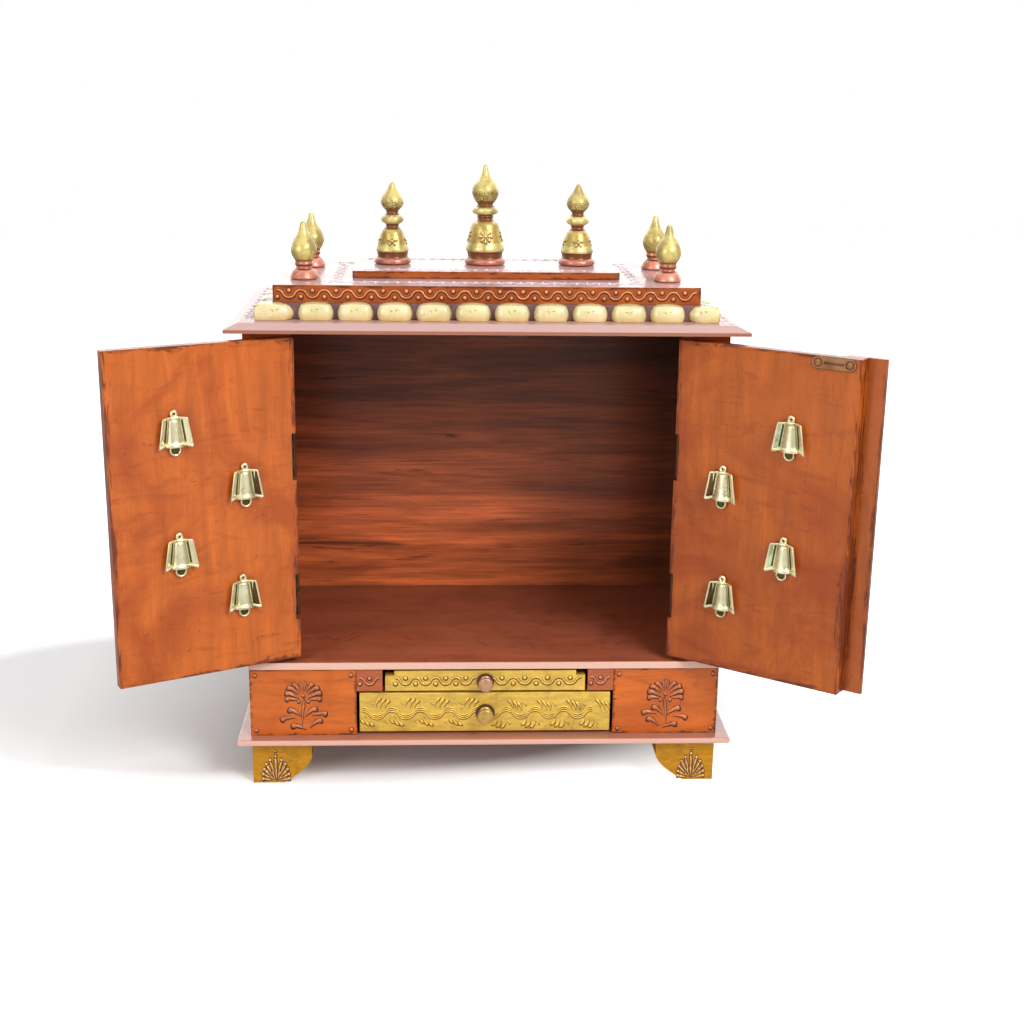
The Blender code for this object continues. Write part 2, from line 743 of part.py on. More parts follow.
def make_drawer(knob):
    """Drawer front and its open box, on a slide along Y."""
    slide = slide_frame("drawer_slide")
    half = DRAWER_HALF
    box_half = half - SLIDE_GAP
    low = PLATE_TOP + DRAWER_FRONT_LOW
    front = board(
        "drawer_front", (-half, half), (0.0, FRONT_THICK), (low, DRAWER_FRONT_TOP), gold(), slide
    )
    bevel(front, DRAWER_ROUND)
    floor = PLATE_TOP
    rim = SHELF_LOW - SLIDE_GAP
    box = board(
        "drawer_box", (-box_half, box_half), (FRONT_THICK + SEAM, DRAWER_BACK), (floor, rim),
        dark_wood(), slide,
    )
    inner = box_half - DRAWER_SIDE
    tool = block_cutter(
        "drawer_hollow",
        (-inner, inner),
        (FRONT_THICK + DRAWER_SIDE, DRAWER_BACK - DRAWER_SIDE),
        (floor + DRAWER_BOTTOM, rim + CUT_PAST),
        slide,
    )
    boolean(box, tool, "DIFFERENCE")
    add_knob("drawer_knob", knob, slide, 0.0, 0.0, (low + DRAWER_FRONT_TOP) / 2)


def make_tray(knob):
    """A shallow tray with a shouldered front, on a slide along Y."""
    slide = slide_frame("tray_slide")
    half = TRAY_HALF
    low = TRAY_LOW
    shoulder = low + TRAY_SHOULDER
    top = low + TRAY_HEIGHT
    notch = half - TRAY_NOTCH
    points = [
        (-half, low), (half, low), (half, shoulder), (notch, shoulder),
        (notch, top), (-notch, top), (-notch, shoulder), (-half, shoulder),
    ]
    mesh = outline_mesh("tray", points, FRONT_THICK)
    tray = add_part("tray", mesh, gold(), slide, (0.0, FRONT_THICK / 2, 0.0))
    pan = block_cutter(
        "tray_pan", (-half, half), (FRONT_THICK / 2, TRAY_BACK), (low, low + TRAY_WALL_HEIGHT),
        slide,
    )
    inner = half - TRAY_SIDE
    hollow = block_cutter(
        "tray_hollow", (-inner, inner), (FRONT_THICK, TRAY_BACK - TRAY_SIDE),
        (low + TRAY_BOARD, top + CUT_PAST), slide,
    )
    boolean(tray, pan, "UNION")
    boolean(tray, hollow, "DIFFERENCE")
    add_knob("tray_knob", knob, slide, 0.0, 0.0, low + TRAY_HEIGHT / 2)


def slide_frame(name):
    """An empty that carries what slides along Y."""
    empty = bpy.data.objects.new(name, None)
    PARTS.objects.link(empty)
    empty.parent = ROOT
    empty.location.z = SEAM
    return empty


def door_frame(name, s, angle):
    """An empty on the hinge pin; X runs to the middle of the opening when s is -1."""
    empty = bpy.data.objects.new(name, None)
    PARTS.objects.link(empty)
    empty.parent = ROOT
    empty.location = (s * PIN_X, PIN_Y, DOOR_LOW)
    empty.rotation_euler.z = radians(s * angle)
    return empty


def hinge_mesh(name, side, own, pinned, set_back=0.0):
    """One leaf of a butt hinge at side -1 or 1 of the pin, with its own knuckles.

    The set-back is how far the leaf lies beyond its knuckles, in the bed of a mortise.
    """
    out = HINGE_RADIUS + set_back
    root = HINGE_RADIUS + HINGE_ROOT if set_back == 0.0 else HINGE_LAP
    plate = block_mesh(name, (HINGE_THICK, HINGE_LEAF - root, HINGE_LENGTH))
    middle = side * (out - HINGE_THICK / 2)
    plate.transform(Matrix.Translation((middle, (HINGE_LEAF + root) / 2, 0.0)))
    leaf = add_cutter(name + "_leaf", plate)
    knuckle = HINGE_LENGTH / HINGE_KNUCKLES
    height = knuckle - KNUCKLE_GAP
    for i in own:
        z = -HINGE_LENGTH / 2 + (i + 0.5) * knuckle
        if set_back == 0.0:
            tab = block_mesh(name + "_tab", (HINGE_THICK, root + HINGE_LAP, height))
            tab.transform(Matrix.Translation((middle, (root + HINGE_LAP) / 2, z)))
        else:
            tab = block_mesh(name + "_tab", (out - HINGE_LAP, HINGE_THICK, height - KNUCKLE_GAP))
            tab.transform(Matrix.Translation((side * out / 2, HINGE_LAP, z)))
        barrel = rod_mesh(name + "_barrel", HINGE_RADIUS, height)
        barrel.transform(Matrix.Translation((0.0, 0.0, z)))
        boolean(leaf, add_cutter(name + "_tab_%d" % i, tab), "UNION")
        boolean(leaf, add_cutter(name + "_barrel_%d" % i, barrel), "UNION")
    if pinned:
        pin = rod_mesh(name + "_pin", HINGE_PIN, HINGE_LENGTH - KNUCKLE_GAP - HINGE_PIN_SHORT)
    else:
        pin = rod_mesh(name + "_pin", HINGE_PIN + PIN_FIT, HINGE_LENGTH + CUT_PAST)
    boolean(leaf, add_cutter(name + "_pin", pin), "UNION" if pinned else "DIFFERENCE")
    mesh = settled_mesh(leaf, name)
    mesh.materials.clear()
    mesh.materials.append(brass())
    return mesh


def rod_mesh(name, radius, length):
    """A round rod along Z, centred on its own origin."""
    bm = bmesh.new()
    bmesh.ops.create_cone(
        bm, cap_ends=True, segments=HINGE_SIDES, radius1=radius, radius2=radius, depth=length
    )
    mesh = bpy.data.meshes.new(name)
    bm.to_mesh(mesh)
    bm.free()
    return mesh


def make_hinges(frames):
    """Two butt hinges on each door; a right-hand hinge is the left one turned over."""
    fixed = hinge_mesh("hinge_fixed_leaf", -1, range(0, HINGE_KNUCKLES, 2), True)
    moving = hinge_mesh(
        "hinge_moving_leaf", 1, range(1, HINGE_KNUCKLES, 2), False, HINGE_MORTISE
    )
    for side, s in (("left", -1), ("right", 1)):
        over = 0.0 if s < 0 else pi
        for level, z in (("lower", HINGE_LOW), ("upper", HINGE_HIGH)):
            spot = (s * PIN_X, PIN_Y, DOOR_LOW + z)
            leaf = add_part("hinge_stile_" + side + "_" + level, fixed, brass(), location=spot)
            leaf.rotation_euler.y = over
            name = "hinge_door_" + side + "_" + level
            leaf = add_part(name, moving, brass(), frames[side], (0.0, 0.0, z))
            leaf.rotation_euler.y = over


def bell_plate_mesh():
    """Thin bell-shaped plate, flat in the middle, its two wings folded away from the door."""
    foot = BELL_PLATE_FOOT / 2
    shoulder = BELL_PLATE_SHOULDER / 2
    ear = BELL_EAR / 2
    ear_low = BELL_TOP - ear
    scallop = foot / 2
    points = arc((-scallop, 0.0), scallop - SEAM, 180, 0, 5)
    points = [(x, BELL_PLATE_LOW + z * BELL_SCALLOP_RISE) for x, z in points]
    points += [(-x, z) for x, z in reversed(points)]
    points += [(shoulder, BELL_PLATE_HIGH), (ear, BELL_PLATE_HIGH + BELL_SLOPE)]
    points += arc((0.0, ear_low), ear, 0, 180, 6)
    points += [(-ear, BELL_PLATE_HIGH + BELL_SLOPE), (-shoulder, BELL_PLATE_HIGH)]
    hole = arc((0.0, ear_low), BELL_EAR_HOLE / 2, 0, 300, 5)
    deep = 4 * BELL_WING_REACH
    front_view = outline_mesh("bell_plate", points, deep, (hole,))
    fold = BELL_WING_FOLD
    out = foot + BELL_PLATE
    slope = BELL_WING_REACH / (foot - fold)
    tip = (out - fold) * slope
    plan = [
        (-out, tip), (-fold, 0.0), (fold, 0.0), (out, tip),
        (out, tip + BELL_PLATE), (fold, BELL_PLATE), (-fold, BELL_PLATE), (-out, tip + BELL_PLATE),
    ]
    folded = outline_mesh("bell_fold", plan, 2 * BELL_TOP + CUT_PAST)
    folded.transform(Matrix.Rotation(-pi / 2, 4, "X"))
    plate = add_cutter("bell_plate", folded)
    boolean(plate, add_cutter("bell_outline", front_view), "INTERSECT")
    return settled_mesh(plate, "bell_plate")


def bell_mesh():
    """A half-round bell with its clapper, cast on a winged plate; Y = 0 is the plate's back."""
    low = BELL_LOW
    high = BELL_SHOULDER
    rise = high - low
    crown = BELL_CROWN
    rim = BELL_RIM
    wall = BELL_WALL
    profile = [
        (0.0, high + BELL_ARM), (crown * 0.62, high + BELL_ARM * 0.7), (crown, high - BELL_LAP),
        (crown + BELL_FLARE / 3, low + rise * 0.62), (crown + BELL_FLARE, low + rise * 0.28),
        (rim, low + BELL_LIP), (rim, low), (rim - wall, low),
        (crown + BELL_FLARE - wall, low + rise * 0.28), (crown - wall, high - wall - BELL_LIP),
        (0.0, high - BELL_ARM),
    ]
    ball = CLAPPER_RADIUS
    stem = [
        (0.0, high), (CLAPPER_ROD, high), (CLAPPER_ROD, ball * 2.0), (ball * 0.8, ball * 1.6),
        (ball, ball), (ball * 0.7, ball * 0.3), (0.0, 0.0),
    ]
    flatten = Matrix.Diagonal((1.0, BELL_BULGE, 1.0, 1.0))
    forward = Matrix.Translation((0.0, BELL_PLATE / 2, 0.0)) @ flatten
    shell = turned_mesh("bell_shell", profile, BELL_SIDES)
    shell.transform(forward)
    clapper = turned_mesh("bell_clapper", stem, CLAPPER_SIDES)
    clapper.transform(forward)
    body = add_cutter("bell_round", shell)
    boolean(body, add_cutter("bell_tongue", clapper), "UNION")
    room = (4 * BELL_RIM, 2 * BELL_RIM, 2 * BELL_TOP)
    half = block_mesh("bell_half", room)
    half.transform(Matrix.Translation((0.0, BELL_PLATE / 2 + BELL_RIM, BELL_TOP / 2)))
    boolean(body, add_cutter("bell_half", half), "INTERSECT")
    plate = add_cutter("bell_backing", bell_plate_mesh())
    boolean(body, plate, "UNION")
    mesh = settled_mesh(body, "brass_bell")
    mesh.materials.clear()
    mesh.materials.append(brass())
    return mesh


def make_door(side, s, angle, bell, pull):
    """A door on its hinge pin with its bells and outer knob."""
    frame = door_frame("door_pivot_" + side, s, angle)
    height = DOOR_HIGH - DOOR_LOW
    x = sorted((-s * DOOR_GAP / 2, -s * DOOR_FREE_EDGE))
    door = board("door_" + side, x, (PIN_LEAD, DOOR_INNER), (0.0, height), wood(), frame)
    bevel(door, DOOR_ROUND)
    for level, z in (("lower", HINGE_LOW), ("upper", HINGE_HIGH)):
        bed = s * (DOOR_GAP / 2 + HINGE_MORTISE)
        tool = block_cutter(
            "mortise_" + side + "_" + level,
            sorted((-bed, 0.0)),
            (-CUT_PAST, DOOR_INNER + CUT_PAST),
            (z - HINGE_LENGTH / 2 - SEAM, z + HINGE_LENGTH / 2 + SEAM),
            frame,
        )
        boolean(door, tool, "DIFFERENCE")
    for i, (along, low) in enumerate(BELL_SPOTS):
        name = "bell_%s_%d" % (side, i + 1)
        add_part(name, bell, brass(), frame, (-s * along, DOOR_INNER + SEAM, low))
    pull_x = -s * (DOOR_FREE_EDGE - PULL_INSET)
    add_knob("door_knob_" + side, pull, frame, pull_x, PIN_LEAD, PULL_HEIGHT)
    return frame


def make_meeting(frame):
    """Astragal on the right door's outer face, its lip ahead of the left door's face."""
    height = DOOR_HIGH - DOOR_LOW
    outer = PIN_LEAD - SEAM
    front = outer - ASTRAGAL_THICK
    edge = DOOR_FREE_EDGE + ASTRAGAL_REACH
    start = edge - ASTRAGAL_WIDTH
    step = DOOR_FREE_EDGE + SEAM
    lip = PIN_LEAD - REBATE_GAP
    corner = ASTRAGAL_ROUND
    plan = [(start, outer), (step, outer), (step, lip), (edge, lip)]
    plan += arc((edge - corner, front + corner), corner, 0, -90, 3)
    plan += arc((start + corner, front + corner), corner, -90, -180, 3)
    mesh = outline_mesh("astragal", [(-a, b) for a, b in plan], height)
    mesh.transform(Matrix.Rotation(-pi / 2, 4, "X"))
    add_part("astragal", mesh, wood(), frame, (0.0, 0.0, height / 2))


def make_catch(frame):
    """Strike plate on the right door and the magnetic catch under the eave."""
    length = STRIKE_LENGTH
    round_end = STRIKE_HEIGHT / 2
    half = length / 2 - round_end
    points = arc((half, 0.0), round_end, -90, 90, 8) + arc((-half, 0.0), round_end, 90, 270, 8)
    mesh = outline_mesh("strike_plate", points, STRIKE_THICK)
    along = DOOR_FREE_EDGE - STRIKE_FROM_EDGE - length / 2
    up = DOOR_HIGH - DOOR_LOW - STRIKE_FROM_TOP - round_end
    spot = (-along, DOOR_INNER + SEAM + STRIKE_THICK / 2, up)
    add_part("strike_plate", mesh, steel(), frame, spot)
    x = PIN_X - along
    front = PIN_Y + DOOR_INNER + SEAM + STRIKE_THICK + CATCH_GAP
    top = EAVE_BOTTOM - SEAM
    body = board(
        "magnet_catch",
        (x - CATCH_WIDTH / 2, x + CATCH_WIDTH / 2),
        (front, front + CATCH_DEPTH),
        (top - CATCH_HEIGHT, top),
        material("catch_plastic", (0.16, 0.09, 0.06), 0.5),
    )
    bevel(body, CATCH_ROUND)


def stand_on_origin():
    """Move the frame so that the open cabinet's box stands centred on the origin."""
    bpy.context.view_layer.update()
    graph = bpy.context.evaluated_depsgraph_get()
    low = Vector((float("inf"),) * 3)
    high = -low
    for obj in PARTS.objects:
        if obj.type != "MESH":
            continue
        ready = obj.evaluated_get(graph)
        for v in ready.data.vertices:
            spot = ready.matrix_world @ v.co
            for i in range(3):
                low[i] = min(low[i], spot[i])
                high[i] = max(high[i], spot[i])
    ROOT.location = (-(low.x + high.x) / 2, -(low.y + high.y) / 2, -low.z)


def main():
    clear_scene()
    knob = knob_mesh("brass_knob", KNOB_RADIUS, KNOB_LENGTH)
    pull = knob_mesh("door_pull", PULL_RADIUS, PULL_LENGTH)
    make_feet()
    make_base()
    make_body()
    make_roof()
    make_finials()
    make_drawer(knob)
    make_tray(knob)
    bell = bell_mesh()
    frames = {
        "left": make_door("left", -1, LEFT_OPEN, bell, pull),
        "right": make_door("right", 1, RIGHT_OPEN, bell, pull),
    }
    make_hinges(frames)
    make_meeting(frames["right"])
    make_catch(frames["right"])
    stand_on_origin()


main()
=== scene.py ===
"""Looks of a wooden pooja mandir: lacquer, gilding, carved ornament, bells and a studio stage.

Metres, +Z up, doors towards -Y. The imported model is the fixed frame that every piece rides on.
"""

import json
from math import atan, cos, pi, radians, sin, tau

import bmesh
import bpy
from bpy.props import FloatProperty, FloatVectorProperty, IntProperty, PointerProperty
from mathutils import Matrix, Vector

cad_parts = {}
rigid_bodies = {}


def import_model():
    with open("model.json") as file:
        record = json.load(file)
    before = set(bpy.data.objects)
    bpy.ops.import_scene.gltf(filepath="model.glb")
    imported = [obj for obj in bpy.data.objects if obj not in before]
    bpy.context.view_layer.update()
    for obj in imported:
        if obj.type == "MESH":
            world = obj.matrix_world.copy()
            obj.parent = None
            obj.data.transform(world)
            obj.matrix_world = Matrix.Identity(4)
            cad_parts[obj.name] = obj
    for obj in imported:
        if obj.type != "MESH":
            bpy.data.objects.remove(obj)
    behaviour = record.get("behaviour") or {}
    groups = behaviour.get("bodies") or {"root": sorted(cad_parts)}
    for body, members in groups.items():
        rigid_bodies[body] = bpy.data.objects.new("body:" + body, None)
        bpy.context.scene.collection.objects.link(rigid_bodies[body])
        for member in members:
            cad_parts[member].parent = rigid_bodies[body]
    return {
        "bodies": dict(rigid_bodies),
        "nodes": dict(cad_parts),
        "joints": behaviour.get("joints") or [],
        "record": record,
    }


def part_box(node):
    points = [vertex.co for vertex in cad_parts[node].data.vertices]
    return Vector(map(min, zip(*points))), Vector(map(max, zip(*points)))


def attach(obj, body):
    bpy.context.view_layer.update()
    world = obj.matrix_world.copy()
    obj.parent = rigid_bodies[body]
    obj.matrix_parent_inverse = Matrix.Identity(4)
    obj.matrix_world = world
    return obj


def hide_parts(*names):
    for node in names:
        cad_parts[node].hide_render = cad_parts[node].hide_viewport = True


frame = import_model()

bl_info = {
    "name": "Pooja mandir looks",
    "version": (1, 0, 0),
    "blender": (4, 5, 0),
    "location": "View3D > Sidebar > Mandir",
    "description": "Carved ornament, lacquer, gilding and a studio stage for a home temple cabinet",
    "category": "Object",
}

NODES = frame["nodes"]
JOINTS = {joint["name"]: joint for joint in frame["joints"]}
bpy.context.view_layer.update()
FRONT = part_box("drawer_front")[0].y
MIDDLE = sum(corner.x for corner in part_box("back_wall")) / 2
DOOR_OPEN = {"left": radians(-152.8), "right": radians(144.0)}
SIDES = (("left", -1), ("right", 1))
MM = 0.001
# Across a door from its hinge pin, and through it
DOOR_REACH = 201.0 * MM
ASTRAGAL_REACH = 220.0 * MM
DOOR_HINGE_EDGE = 4.0 * MM
DOOR_THICK = 13.0 * MM


# Sizes and colours


def tone_property(name, description, tone):
    return FloatVectorProperty(
        name=name, description=description, default=tone, subtype="COLOR", size=3, min=0.0, max=1.0
    )


def length_property(name, description, length, low, high):
    return FloatProperty(
        name=name, description=description, default=length, unit="LENGTH", min=low, max=high
    )


class MandirColours(bpy.types.PropertyGroup):
    """Lacquers, paints and metals."""

    door_orange: tone_property("Door lacquer", "Stain on the doors' inner faces", (0.50, 0.112, 0.013))
    cabinet_copper: tone_property("Cabinet lacquer", "Stain on the boards", (0.42, 0.092, 0.020))
    stain_shadow: tone_property("Dark streaks", "Red-brown in the stain", (0.20, 0.030, 0.006))
    inner_brown: tone_property("Inner stain", "Red-brown inside the shrine", (0.30, 0.068, 0.020))
    gold: tone_property("Gold paint", "Antique gold on drawer and tray", (0.77, 0.50, 0.075))
    patina: tone_property("Patina", "Brown glaze rubbed into the gold", (0.20, 0.085, 0.018))
    cream: tone_property("Petal cream", "Lacquer on the lotus petals", (0.78, 0.68, 0.34))
    plum: tone_property("Petal gaps", "Dark purple between the petals", (0.16, 0.075, 0.075))
    brass: tone_property("Brass", "Pale cast brass of the bells and knobs", (0.90, 0.84, 0.55))


class MandirSizes(bpy.types.PropertyGroup):
    """Sizes of the ornament and of the stage."""

    scroll_period: length_property("Scroll period", "Length of one wave", 0.0235, 0.01, 0.06)
    scroll_swing: length_property("Scroll swing", "Height of a wave", 0.0040, 0.001, 0.02)
    scroll_thick: length_property("Scroll thickness", "Width of the wave line", 0.0016, 0.0005, 0.006)
    dot_radius: length_property("Dot radius", "Radius of the scroll's dots", 0.0020, 0.0005, 0.006)
    relief: length_property("Relief", "How far the leaves stand proud", 0.0014, 0.0003, 0.004)
    turned_sides: IntProperty(
        name="Turned sides", description="Sides of the turned pieces before smoothing",
        default=32, min=12, max=64,
    )
    key_power: FloatProperty(
        name="Key light", description="Power of the large lamp at the front right",
        default=46.0, min=0.0, max=500.0,
    )
    lens: FloatProperty(
        name="Lens", description="Focal length of the camera in millimetres",
        default=53.72, min=10.0, max=200.0,
    )


# Modelling by hand


def start():
    """Leave edit mode and deselect everything."""
    if bpy.context.mode != "OBJECT":
        bpy.ops.object.mode_set(mode="OBJECT")
    bpy.ops.object.select_all(action="DESELECT")


def only(obj):
    start()
    obj.select_set(True)
    bpy.context.view_layer.objects.active = obj
    return obj


def settle(obj):
    """Put the object's place, turn and size into its mesh."""
    only(obj)
    bpy.ops.object.transform_apply(location=True, rotation=True, scale=True)
    return obj


def added():
    """The object that the last operator added, with its place, turn and size in its mesh."""
    return settle(bpy.context.active_object)


def place(obj, matrix):
    obj.matrix_world = matrix @ obj.matrix_world
    return settle(obj)


def pick(obj, test):
    """Enter edit mode with the vertices that pass the test selected."""
    only(obj)
    bpy.ops.object.mode_set(mode="EDIT")
    bpy.ops.mesh.select_mode(type="VERT")
    bpy.ops.mesh.select_all(action="DESELECT")
    shape = bmesh.from_edit_mesh(obj.data)
    for vert in shape.verts:
        vert.select_set(bool(test(vert.co)))
    shape.select_flush(True)
    bmesh.update_edit_mesh(obj.data)


def everything(co):
    return True


def done(obj):
    """Leave edit mode."""
    bpy.ops.object.mode_set(mode="OBJECT")
    return obj


def cut(obj, spot, normal, fill=True):
    """Keep what lies on the normal's side of a plane, with the cut face closed."""
    pick(obj, everything)
    bpy.ops.mesh.bisect(
        plane_co=spot, plane_no=Vector(normal).normalized(), clear_inner=True, use_fill=fill
    )
    return done(obj)


def shift(obj, test, value):
    """Move the vertices that pass the test."""
    pick(obj, test)
    bpy.ops.transform.translate(value=value)
    done(obj)


def stretch(obj, test, value, centre):
    """Scale the vertices that pass the test about a centre."""
    pick(obj, test)
    bpy.ops.transform.resize(value=value, center_override=centre)
    done(obj)


def bevelled(obj, width, segments=2):
    """Round the sharp edges."""
    return modify(obj, "BEVEL", width=width, segments=segments, limit_method="ANGLE")


def block(size, spot=(0.0, 0.0, 0.0), turn=0.0):
    """A box of a size about a spot, turned about Z."""
    start()
    bpy.ops.mesh.primitive_cube_add(size=1.0, location=spot, rotation=(0.0, 0.0, turn))
    bpy.context.active_object.scale = size
    return added()


def modify(obj, kind, **settings):
    """Add a modifier and apply it."""
    only(obj)
    modifier = obj.modifiers.new(kind.lower(), kind)
    for key, value in settings.items():
        setattr(modifier, key, value)
    bpy.ops.object.modifier_apply(modifier=modifier.name)
    return obj


def outward(obj):
    """Merge doubles and turn the faces outwards."""
    only(obj)
    bpy.ops.object.mode_set(mode="EDIT")
    bpy.ops.mesh.select_all(action="SELECT")
    bpy.ops.mesh.remove_doubles(threshold=1e-6)
    bpy.ops.mesh.normals_make_consistent(inside=False)
    return done(obj)


def joined(objects, name):
    start()
    for obj in objects:
        obj.select_set(True)
    bpy.context.view_layer.objects.active = objects[0]
    if len(objects) > 1:
        bpy.ops.object.join()
    whole = bpy.context.active_object
    whole.name = whole.data.name = name
    return whole


def twin(shape, matrix):
    """A copy of a shape, with its own mesh, at a place."""
    copy = shape.copy()
    copy.data = shape.data.copy()
    bpy.context.scene.collection.objects.link(copy)
    copy.matrix_world = matrix
    return copy


def discard(*objects):
    for obj in objects:
        bpy.data.objects.remove(obj, do_unlink=True)


def smooth(obj, angle=40.0):
    only(obj)
    bpy.ops.object.shade_smooth_by_angle(angle=radians(angle))
    return obj


def finish_piece(obj, name, body, finish):
    """Name a piece, give it its finish and let it ride on its body."""
    settle(obj)
    obj.name = obj.data.name = name
    obj.data.materials.clear()
    obj.data.materials.append(finish)
    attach(obj, body)
    return obj


# Places on the cabinet


def at(x, y, z):
    """A point given from the cabinet's middle, its front plane and the floor."""
    return Vector((MIDDLE + x, FRONT + y, z))


def facing(spot, side="front"):
    """Matrix that stands a flat ornament, drawn in X and Y, on a face of the cabinet."""
    turns = {"front": 0.0, "right": 90.0, "back": 180.0, "left": -90.0}
    if side == "top":
        return Matrix.Translation(spot)
    stand = Matrix.Rotation(pi / 2, 4, "X")
    return Matrix.Translation(spot) @ Matrix.Rotation(radians(turns[side]), 4, "Z") @ stand


def door_matrix(side):
    """Frame of an open door: its origin on the hinge pin at the door's lower edge."""
    pin = Vector(JOINTS["door_%s_hinge" % side]["pos_m"])
    pin.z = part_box("door_" + side)[0].z
    return Matrix.Translation(pin) @ Matrix.Rotation(DOOR_OPEN[side], 4, "Z")


# Finishes


def set_range(node, *numbers):
    """Set the four ends of a Map Range node."""
    for key, number in zip(("From Min", "From Max", "To Min", "To Max"), numbers):
        node.inputs[key].default_value = number


class Nodes:
    """Makes and links the nodes of a shader tree."""

    def __init__(self, tree):
        self.tree = tree
        self.place = None

    def node(self, kind, **settings):
        made = self.tree.nodes.new(kind)
        for key, value in settings.items():
            setattr(made, key, value)
        return made

    def feed(self, socket, value):
        """Link a socket to another, or set its value."""
        if isinstance(value, bpy.types.NodeSocket):
            self.tree.links.new(value, socket)
        elif hasattr(value, "__len__") and len(value) == 3 and socket.type == "RGBA":
            socket.default_value = (*value, 1.0)
        else:
            socket.default_value = value

    def turned(self, scale=(1.0, 1.0, 1.0), turn=(0.0, 0.0, 0.0), shift=(0.0, 0.0, 0.0), source=None):
        mapping = self.node("ShaderNodeMapping")
        self.feed(mapping.inputs["Vector"], source or self.place)
        mapping.inputs["Scale"].default_value = scale
        mapping.inputs["Rotation"].default_value = turn
        mapping.inputs["Location"].default_value = shift
        return mapping.outputs["Vector"]

    def noise(self, vector, scale, detail=4.0, rough=0.55, distort=0.0):
        made = self.node("ShaderNodeTexNoise")
        self.feed(made.inputs["Vector"], vector)
        made.inputs["Scale"].default_value = scale
        made.inputs["Detail"].default_value = detail
        made.inputs["Roughness"].default_value = rough
        made.inputs["Distortion"].default_value = distort
        return made.outputs["Fac"]

    def cells(self, vector, scale):
        made = self.node("ShaderNodeTexVoronoi", feature="DISTANCE_TO_EDGE")
        self.feed(made.inputs["Vector"], vector)
        made.inputs["Scale"].default_value = scale
        return made.outputs["Distance"]

    def ramp(self, factor, *stops, ease="LINEAR"):
        made = self.node("ShaderNodeValToRGB")
        made.color_ramp.interpolation = ease
        row = made.color_ramp.elements
        while len(row) < len(stops):
            row.new(0.5)
        for element, (spot, tone) in zip(row, stops):
            element.position = spot
            tone = (tone, tone, tone) if isinstance(tone, (int, float)) else tone
            element.color = (*tone[:3], 1.0)
        self.feed(made.inputs["Fac"], factor)
        return made.outputs["Color"]

    def mix(self, factor, first, second, blend="MIX"):
        made = self.node("ShaderNodeMix", data_type="RGBA", blend_type=blend)
        self.feed(made.inputs["Factor"], factor)
        self.feed(made.inputs[6], first)
        self.feed(made.inputs[7], second)
        return made.outputs[2]

    def maths(self, operation, first, second=0.0):
        made = self.node("ShaderNodeMath", operation=operation)
        self.feed(made.inputs[0], first)
        self.feed(made.inputs[1], second)
        return made.outputs[0]

    def add(self, first, second):
        return self.maths("ADD", first, second)

    def times(self, first, second):
        return self.maths("MULTIPLY", first, second)

    def away(self, first, second):
        """How far one value lies from another."""
        return self.maths("ABSOLUTE", self.maths("SUBTRACT", first, second))

    def remap(self, value, low, high, to_low, to_high, ease="LINEAR"):
        made = self.node("ShaderNodeMapRange", interpolation_type=ease)
        self.feed(made.inputs["Value"], value)
        set_range(made, low, high, to_low, to_high)
        return made.outputs["Result"]

    def axis(self, name, vector=None):
        made = self.node("ShaderNodeSeparateXYZ")
        self.feed(made.inputs[0], vector or self.place)
        return made.outputs[name]

    def bump(self, height, distance, strength=1.0, under=None):
        made = self.node("ShaderNodeBump")
        made.inputs["Strength"].default_value = strength
        made.inputs["Distance"].default_value = distance
        self.feed(made.inputs["Height"], height)
        if under is not None:
            self.feed(made.inputs["Normal"], under)
        return made.outputs["Normal"]


class Finish(Nodes):
    """A node material in the making."""

    def __init__(self, name):
        self.material = bpy.data.materials.new(name)
        self.material.use_nodes = True
        super().__init__(self.material.node_tree)
        self.shader = self.tree.nodes["Principled BSDF"]
        self.place = self.node("ShaderNodeTexCoord").outputs["Object"]

    def set(self, **values):
        """Set the shader's own sockets; an underscore stands for a space."""
        for key, value in values.items():
            self.feed(self.shader.inputs[key.replace("_", " ")], value)
        return self.material


def shade(tone, factor):
    return tuple(min(1.0, channel * factor) for channel in tone)


